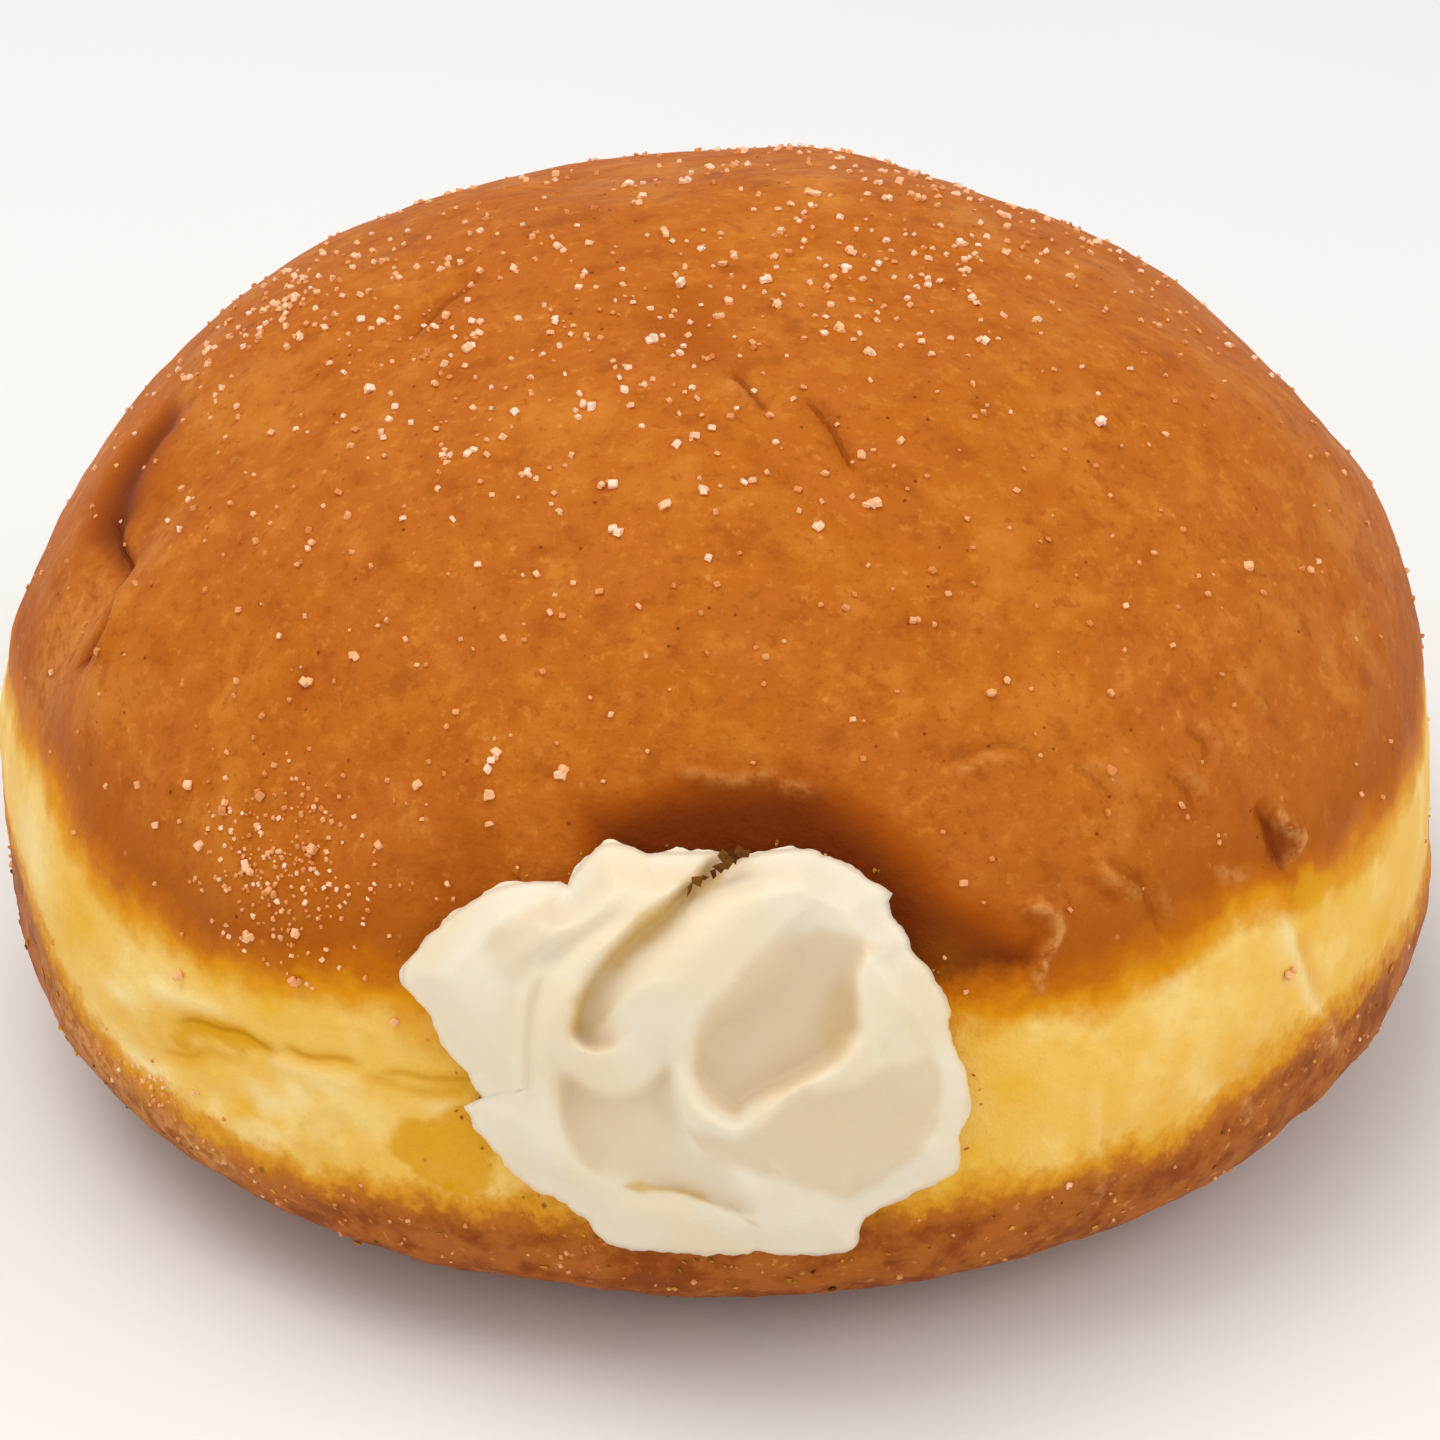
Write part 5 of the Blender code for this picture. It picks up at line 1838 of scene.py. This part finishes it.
@dataclass
class Sugar:
    """Sugar grains that cling to the crust, in one mesh."""

    bun: Bun
    cream: Cream
    seed: int = 21
    kinds: int = 8
    corner_wear: Spot = (0.72, 1.15)
    edge_wear: Spot = (0.08, 0.2)
    depths: Spot = (0.75, 0.95)
    heights: Spot = (0.6, 0.85)
    raised: float = 0.14
    clearance: float = 0.5
    coarse_clearance: float = 1.6
    lowest: float = 1.2
    band_share: float = 0.75
    coarse_sizes: Spot = (0.38, 0.62)
    coarse_tints: Spot = (0.2, 1.0)
    tint_shifts: Spot = (-0.15, 0.3)
    crystals_per_grain: tuple = (1, 2, 2, 3)
    lie_along: float = 0.32
    lie_across: float = 0.2
    fine_sizes: Spot = (0.18, 0.5)
    usual_sizes: Spot = (0.4, 0.25)
    pale_tints: Spot = (0.1, 0.5)
    amber_tints: Spot = (0.6, 1.0)
    spacing: float = 1.6
    tries: int = 20
    coarse: tuple[Patch, ...] = (
        Patch(-45, 69, 11, 20, 0.3),
        Patch(175, 79, 8, 8),
        Patch(65, 76, 7, 13, 0.2),
        Patch(-38, 21, 6, 15, 0.8),
        Patch(-21, 33, 5, 5, 0.8),
        Patch(13, 55, 3, 3),
        Patch(-8, 54, 3, 3),
        Patch(-91, 57, 5, 4),
        Patch(119, 63, 6, 6),
        Patch(50, 42, 16, 4, 1),
        Patch(150, 45, 18, 4),
        Patch(-150, 48, 16, 5),
    )
    fine: tuple[Patch, ...] = (
        Patch(-46, 68, 11, 150, 0.35),
        Patch(-20, 74, 8, 60, 0.35),
        Patch(68, 76, 6.5, 100, 0.25),
        Patch(175, 78, 14, 100, 0.4),
        Patch(-35.2, 20.4, 4, 200, 0.75, 0.75),
        Patch(-34, 23, 7, 90, 0.75, 0.75),
        Patch(-91, 55, 9, 60, 0.4),
        Patch(119, 60, 9, 60, 0.4),
        Patch(0, 55, 22, 120, 0.9),
        Patch(45, 45, 22, 90, 0.95),
        Patch(-55, 42, 20, 130, 0.85),
        Patch(100, 35, 22, 70, 0.9),
        Patch(150, 45, 24, 150, 0.8),
        Patch(-150, 45, 24, 160, 0.8),
        Patch(-47, -15, 3.4, 70, 0.7, 0.7),
        Patch(-96, 54, 4, 50, 0.2),
        Patch(-24, -28, 12, 70, 0.95, 0.8),
        Patch(38, -30, 16, 60, 0.95, 0.8),
        Patch(130, -30, 20, 40, 0.9),
        Patch(-120, -30, 20, 40, 0.9),
    )

    def crystals(self) -> list[tuple[Array, list]]:
        """Makes a few kinds of crystal: blocks with worn edges, about one unit across.

        Returns:
            Corners and faces of each kind.
        """
        dice = random.Random(self.seed + 7)
        made = []
        for _ in range(self.kinds):
            edit = bmesh.new()
            bmesh.ops.create_cube(edit, size=1.0)
            for vertex in edit.verts:
                vertex.co *= dice.uniform(*self.corner_wear)
            wear = dice.uniform(*self.edge_wear)
            bmesh.ops.bevel(edit, geom=edit.edges[:], offset=wear, segments=1, affect="EDGES")
            edit.verts.index_update()
            corners = np.array([vertex.co for vertex in edit.verts])
            faces = [[vertex.index for vertex in face.verts] for face in edit.faces]
            edit.free()
            made.append((corners * (1.0, dice.uniform(*self.depths), dice.uniform(*self.heights)), faces))
        return made

    def coarse_places(self) -> list[tuple[Array, Array, float]]:
        """Scatters the larger grains, where the frame's solid has them.

        Returns:
            Place, normal and amber of each grain.
        """
        dice = random.Random(self.seed)
        chosen = []
        for patch in self.coarse:
            middle, east, north = axes_at(patch.azimuth, patch.latitude)
            reach = math.radians(patch.spread)
            placed = 0
            for _ in range(self.tries * patch.count):
                heading = middle + reach * (dice.gauss(0.0, 1.0) * east + dice.gauss(0.0, 1.0) * north)
                places, normals = self.bun.form.surface((heading / np.linalg.norm(heading))[None])
                crowded = any(np.linalg.norm(places[0] - other[0]) < self.spacing for other in chosen)
                if not crowded and not self.cream.covers(places, self.coarse_clearance)[0]:
                    chosen.append((places[0], normals[0], patch.amber))
                    placed += 1
                if placed == patch.count:
                    break
        return chosen

    def fine_places(self) -> list[Bit]:
        """Scatters the smaller grains over the patches.

        Returns:
            Place, normal, amber and scale of each grain.
        """
        dice = np.random.default_rng(self.seed + 3)
        headings, ambers, scales = [], [], []
        for patch in self.fine:
            middle, east, north = axes_at(patch.azimuth, patch.latitude)
            aside = dice.normal(size=(patch.count, 2)) * math.radians(patch.spread)
            headings.append(middle + aside[:, :1] * east + aside[:, 1:] * north)
            ambers.append(dice.random(patch.count) < patch.amber)
            scales.append(np.full(patch.count, patch.scale))
        heading = unit(np.vstack(headings))
        places, normals = self.bun.outside(heading)
        above, below = self.bun.borders(places)
        on_band = (above < 0.0) & (below < 0.0) & (dice.random(len(places)) < self.band_share)
        low = places[:, 2] <= self.lowest - REST_HEIGHT
        clear = ~(self.cream.covers(places, self.clearance) | low | on_band)
        kept = (places, normals, np.concatenate(ambers), np.concatenate(scales))
        return list(zip(*(values[clear] for values in kept)))

    def bits(self, places: list[tuple[Array, Array, float]]) -> list[tuple]:
        """Breaks the larger grains into a few smaller crystals that lie together.

        Args:
            places: Places, normals and ambers of the larger grains.

        Returns:
            Place, normal, size and tint of each crystal.
        """
        dice = random.Random(self.seed + 5)
        bits = []
        for place, normal, amber in places:
            side = np.cross(normal, (dice.uniform(-1.0, 1.0), dice.uniform(-1.0, 1.0), 0.3))
            side /= np.linalg.norm(side)
            tint = dice.uniform(*self.coarse_tints) * amber
            for _ in range(dice.choice(self.crystals_per_grain)):
                aside = side * dice.uniform(-self.lie_along, self.lie_along)
                aside += np.cross(normal, side) * dice.uniform(-self.lie_across, self.lie_across)
                size = dice.uniform(*self.coarse_sizes)
                shade = min(max(tint + dice.uniform(*self.tint_shifts), 0.0), 1.0)
                bits.append((place + aside, normal, size, shade))
        return bits

    def build(self) -> Piece:
        """Builds all the grains as one piece.

        Returns:
            The sugar.
        """
        dice = random.Random(self.seed + 1)
        crystals = self.crystals()
        bits = self.bits(self.coarse_places())
        for place, normal, amber, scale in self.fine_places():
            tint = dice.uniform(*(self.amber_tints if amber else self.pale_tints))
            size = scale * dice.triangular(*self.fine_sizes, self.usual_sizes[int(amber)])
            bits.append((place, normal, size, tint))
        grains = []
        for place, normal, size, tint in bits:
            shape, faces = crystals[dice.randrange(self.kinds)]
            turned = dice.uniform(0.0, 2.0 * math.pi)
            turn = Matrix.Rotation(turned, 3, Vector((dice.random(), dice.random(), 1.0)))
            spin = np.array(Vector(normal).to_track_quat("Z", "Y").to_matrix() @ turn)
            grains.append((shape * size @ spin.T + place + normal * size * self.raised, faces, tint))
        return join_bits("sugar_grains", grains, SugarFinish().make(), "tint")


@dataclass(frozen=True)
class CrumbsFinish:
    """Loose flakes of crust, from golden to dark brown."""

    golden: Colour = paint(226, 158, 58)
    brown: Colour = paint(88, 46, 12)
    grit: Mottle = Mottle(0.25)
    grit_depth: float = 0.03

    def make(self) -> Material:
        """Makes the material of the flakes; each one keeps its own darkness.

        Returns:
            The material.
        """
        recipe = Recipe("crumbs")
        return recipe.finish(
            Base_Color=recipe.mix(recipe.attribute("dark"), self.golden, self.brown),
            Roughness=0.7,
            Specular_IOR_Level=0.06,
            Normal=recipe.bump(recipe.noise(self.grit), self.grit_depth),
        )


@dataclass
class Crumbs:
    """Loose flakes of crust: on the lower crust, round the cream and in the top of its groove."""

    bun: Bun
    cream: Cream
    seed: int = 5
    lower_count: int = 460
    lower_latitudes: Spot = (-46.0, -6.0)
    lower_fringe: Spot = (-0.6, 2.0)
    lowest: float = 1.0
    clearance: float = 0.4
    rim_count: int = 50
    rim_gaps: Spot = (0.2, 0.9)
    stretch: Spot = (0.5, 1.2)
    twist: float = 0.25
    length: float = 0.5
    widths: Spot = (0.25, 0.45)
    thicknesses: Spot = (0.14, 0.3)
    raised: float = 0.1
    sizes: Spot = (0.25, 0.8)
    rim_sizes: Spot = (0.2, 0.42)
    groove_sizes: Spot = (0.6, 1.0)
    groove_lift: float = 0.1
    groove: Route = (
        (1.9, 10.1), (2.3, 9.9), (2.2, 9.6), (2.8, 10.3), (3.1, 10.2), (1.5, 9.1), (1, 8.9),
        (1.8, 9.5), (2.5, 10.1), (0.5, 8.7), (0.2, 8.3),
    )

    def flake(self, dice: random.Random) -> Array:
        """Makes one flake: a squashed and twisted octahedron.

        Args:
            dice: Source of its random sizes.

        Returns:
            Its corners, about one unit across.
        """
        corners = np.array([(1, 0, 0), (0, 1, 0), (-1, 0, 0), (0, -1, 0), (0, 0, 1), (0, 0, -1)], float)
        corners *= np.array([[dice.uniform(*self.stretch)] for _ in corners])
        twist = self.twist
        corners += np.array([[dice.uniform(-twist, twist) for _ in corner] for corner in corners])
        return corners * (self.length, dice.uniform(*self.widths), dice.uniform(*self.thicknesses))

    def on_the_lower_crust(self) -> list[Bit]:
        """Scatters flakes over the lower crust.

        Returns:
            Place, normal, size and darkness of each flake.
        """
        dice = np.random.default_rng(self.seed)
        azimuth = dice.uniform(-180.0, 180.0, self.lower_count)
        latitude = dice.uniform(*self.lower_latitudes, self.lower_count)
        heading = np.array([direction(*spot) for spot in zip(azimuth, latitude)])
        places, normals = self.bun.outside(heading)
        on_crust = self.bun.borders(places)[1] > dice.uniform(*self.lower_fringe, self.lower_count)
        clear = ~self.cream.covers(places, self.clearance) & (places[:, 2] > self.lowest - REST_HEIGHT)
        chosen = np.flatnonzero(on_crust & clear)
        sizes = self.sizes[0] + (self.sizes[1] - self.sizes[0]) * dice.random(self.lower_count) ** 2
        darkness = dice.random(self.lower_count) ** 1.5
        return [(places[k], normals[k], sizes[k], darkness[k]) for k in chosen]

    def round_the_cream(self) -> list[Bit]:
        """Scatters small flakes over the crust right beside the dollop's rim.

        Returns:
            Place, normal, size and darkness of each flake.
        """
        dice = np.random.default_rng(self.seed + 1)
        rim = self.cream.rim_line()[dice.integers(0, self.cream.columns, self.rim_count)]
        reach = np.linalg.norm(rim, axis=1)
        spots = rim * (1.0 + dice.uniform(*self.rim_gaps, self.rim_count) / reach)[:, None]
        middle, outward = self.cream.plane.places(spots), self.cream.plane.axes()[1]
        heading = self.bun.form.to_directions(self.bun.form.slide(middle, outward, 0.0))
        places, normals = self.bun.outside(heading)
        sizes = dice.uniform(*self.rim_sizes, self.rim_count)
        return list(zip(places, normals, sizes, dice.uniform(0.0, 0.8, self.rim_count)))

    def in_the_groove(self) -> list[Bit]:
        """Lays dark flakes in the top of the groove.

        Returns:
            Place, normal, size and darkness of each flake.
        """
        dice = np.random.default_rng(self.seed + 2)
        outward = self.cream.plane.axes()[1]
        places = self.cream.face_places(np.array(self.groove)) + self.groove_lift * outward
        sizes = dice.uniform(*self.groove_sizes, len(places))
        return [(place, outward, size, dice.uniform(0.85, 1.0)) for place, size in zip(places, sizes)]

    def build(self) -> Piece:
        """Builds all the flakes as one piece.

        Returns:
            The flakes.
        """
        dice = random.Random(self.seed)
        faces = [(0, 1, 4), (1, 2, 4), (2, 3, 4), (3, 0, 4), (1, 0, 5), (2, 1, 5), (3, 2, 5), (0, 3, 5)]
        flakes = []
        places = self.on_the_lower_crust() + self.round_the_cream() + self.in_the_groove()
        for place, normal, size, darkness in places:
            turn = Matrix.Rotation(dice.uniform(0.0, 2.0 * math.pi), 3, "Z")
            spin = np.array(Vector(normal).to_track_quat("Z", "Y").to_matrix() @ turn)
            corners = self.flake(dice) * size @ spin.T + place + normal * size * self.raised
            flakes.append((corners, faces, darkness))
        return join_bits("crust_crumbs", flakes, CrumbsFinish().make(), "dark")


@dataclass(frozen=True)
class Lamp:
    """A square soft light that faces the doughnut, in metres and watts, with a linear colour."""

    name: str
    place: tuple
    side: float
    power: float
    colour: tuple
    aim: tuple = (0.0, 0.0, 0.02)

    def hang(self) -> None:
        """Hangs the light in the scene."""
        light = bpy.data.lights.new(self.name, "AREA")
        light.size, light.energy, light.color = self.side, self.power, self.colour
        lamp = bpy.data.objects.new(self.name, light)
        lamp.location = self.place
        lamp.rotation_euler = (Vector(self.place) - Vector(self.aim)).to_track_quat("Z", "Y").to_euler()
        bpy.context.scene.collection.objects.link(lamp)


@dataclass
class Studio:
    """Pale floor, soft light and the camera."""

    distance: float = 286.0
    elevation: float = math.radians(30.0)
    focal_length: float = 114.97
    sensor: float = 36.0
    shift: float = 43.5 / 1440.0
    nearest: float = 0.01
    floor_side: float = 6.0
    floor_squares: int = 8
    floor_finish: FloorFinish = FloorFinish()
    sky: Colour = (1.0, 0.985, 0.965, 1.0)
    sky_strength: float = 0.64
    lamps: tuple[Lamp, ...] = (
        Lamp("top_light", (-0.16, 0.0, 0.5), 0.4, 1.3, (1.0, 0.97, 0.93)),
        Lamp("right_light", (0.45, -0.15, 0.3), 0.4, 0.7, (1.0, 0.98, 0.96)),
        Lamp("front_light", (-0.2, -0.6, 0.35), 0.5, 0.5, (1.0, 0.98, 0.96)),
    )

    def floor(self) -> Piece:
        """Makes the floor, which isn't part of the object.

        Returns:
            The floor.
        """
        squares = self.floor_squares
        bpy.ops.mesh.primitive_grid_add(x_subdivisions=squares, y_subdivisions=squares, size=self.floor_side)
        floor = bpy.context.object
        floor.name = floor.data.name = "floor"
        floor.data.materials.append(self.floor_finish.make())
        return floor

    def camera(self) -> None:
        """Puts the camera at the photograph's angle."""
        eye = bpy.data.cameras.new("camera")
        eye.lens, eye.sensor_width, eye.shift_y = self.focal_length, self.sensor, self.shift
        eye.clip_start = self.nearest
        camera = bpy.data.objects.new("camera", eye)
        camera.location = (0.0, -self.distance * MM * math.cos(self.elevation),
                           (REST_HEIGHT + self.distance * math.sin(self.elevation)) * MM)
        camera.rotation_euler = (math.pi / 2.0 - self.elevation, 0.0, 0.0)
        bpy.context.scene.collection.objects.link(camera)
        bpy.context.scene.camera = camera

    def build(self) -> Piece:
        """Sets up the room.

        Returns:
            Its floor.
        """
        scene = bpy.context.scene
        scene.view_settings.view_transform = "Standard"
        world = bpy.data.worlds.new("room")
        world.use_nodes = True
        background = world.node_tree.nodes["Background"]
        background.inputs["Color"].default_value = self.sky
        background.inputs["Strength"].default_value = self.sky_strength
        scene.world = world
        for lamp in self.lamps:
            lamp.hang()
        self.camera()
        return self.floor()


def dress(piece: Piece, finish: str, *nodes: str) -> None:
    """Lets a piece ride with the object.

    Args:
        piece: The finished piece.
        finish: The record's slot for its finish; not used.
        *nodes: The frame's nodes that it stands for.
    """
    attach(piece, "root")
    if nodes:
        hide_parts(*nodes)
    log.info("%s: %d faces", piece.name, len(piece.data.polygons))


def main() -> None:
    """Builds the doughnut and its studio."""
    logging.basicConfig(level=logging.INFO, format="%(name)s: %(message)s")
    form, filling = BunForm(), Filling()
    bun = Bun(form, filling)
    dress(bun.build(), "crust", "bun")
    cream = Cream(form, filling)
    dress(cream.build(), "cream", "cream")
    dress(Sugar(bun, cream).build(), "sugar")
    dress(Crumbs(bun, cream).build(), "crust")
    Studio().build()


if __name__ == "__main__":
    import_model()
    main()
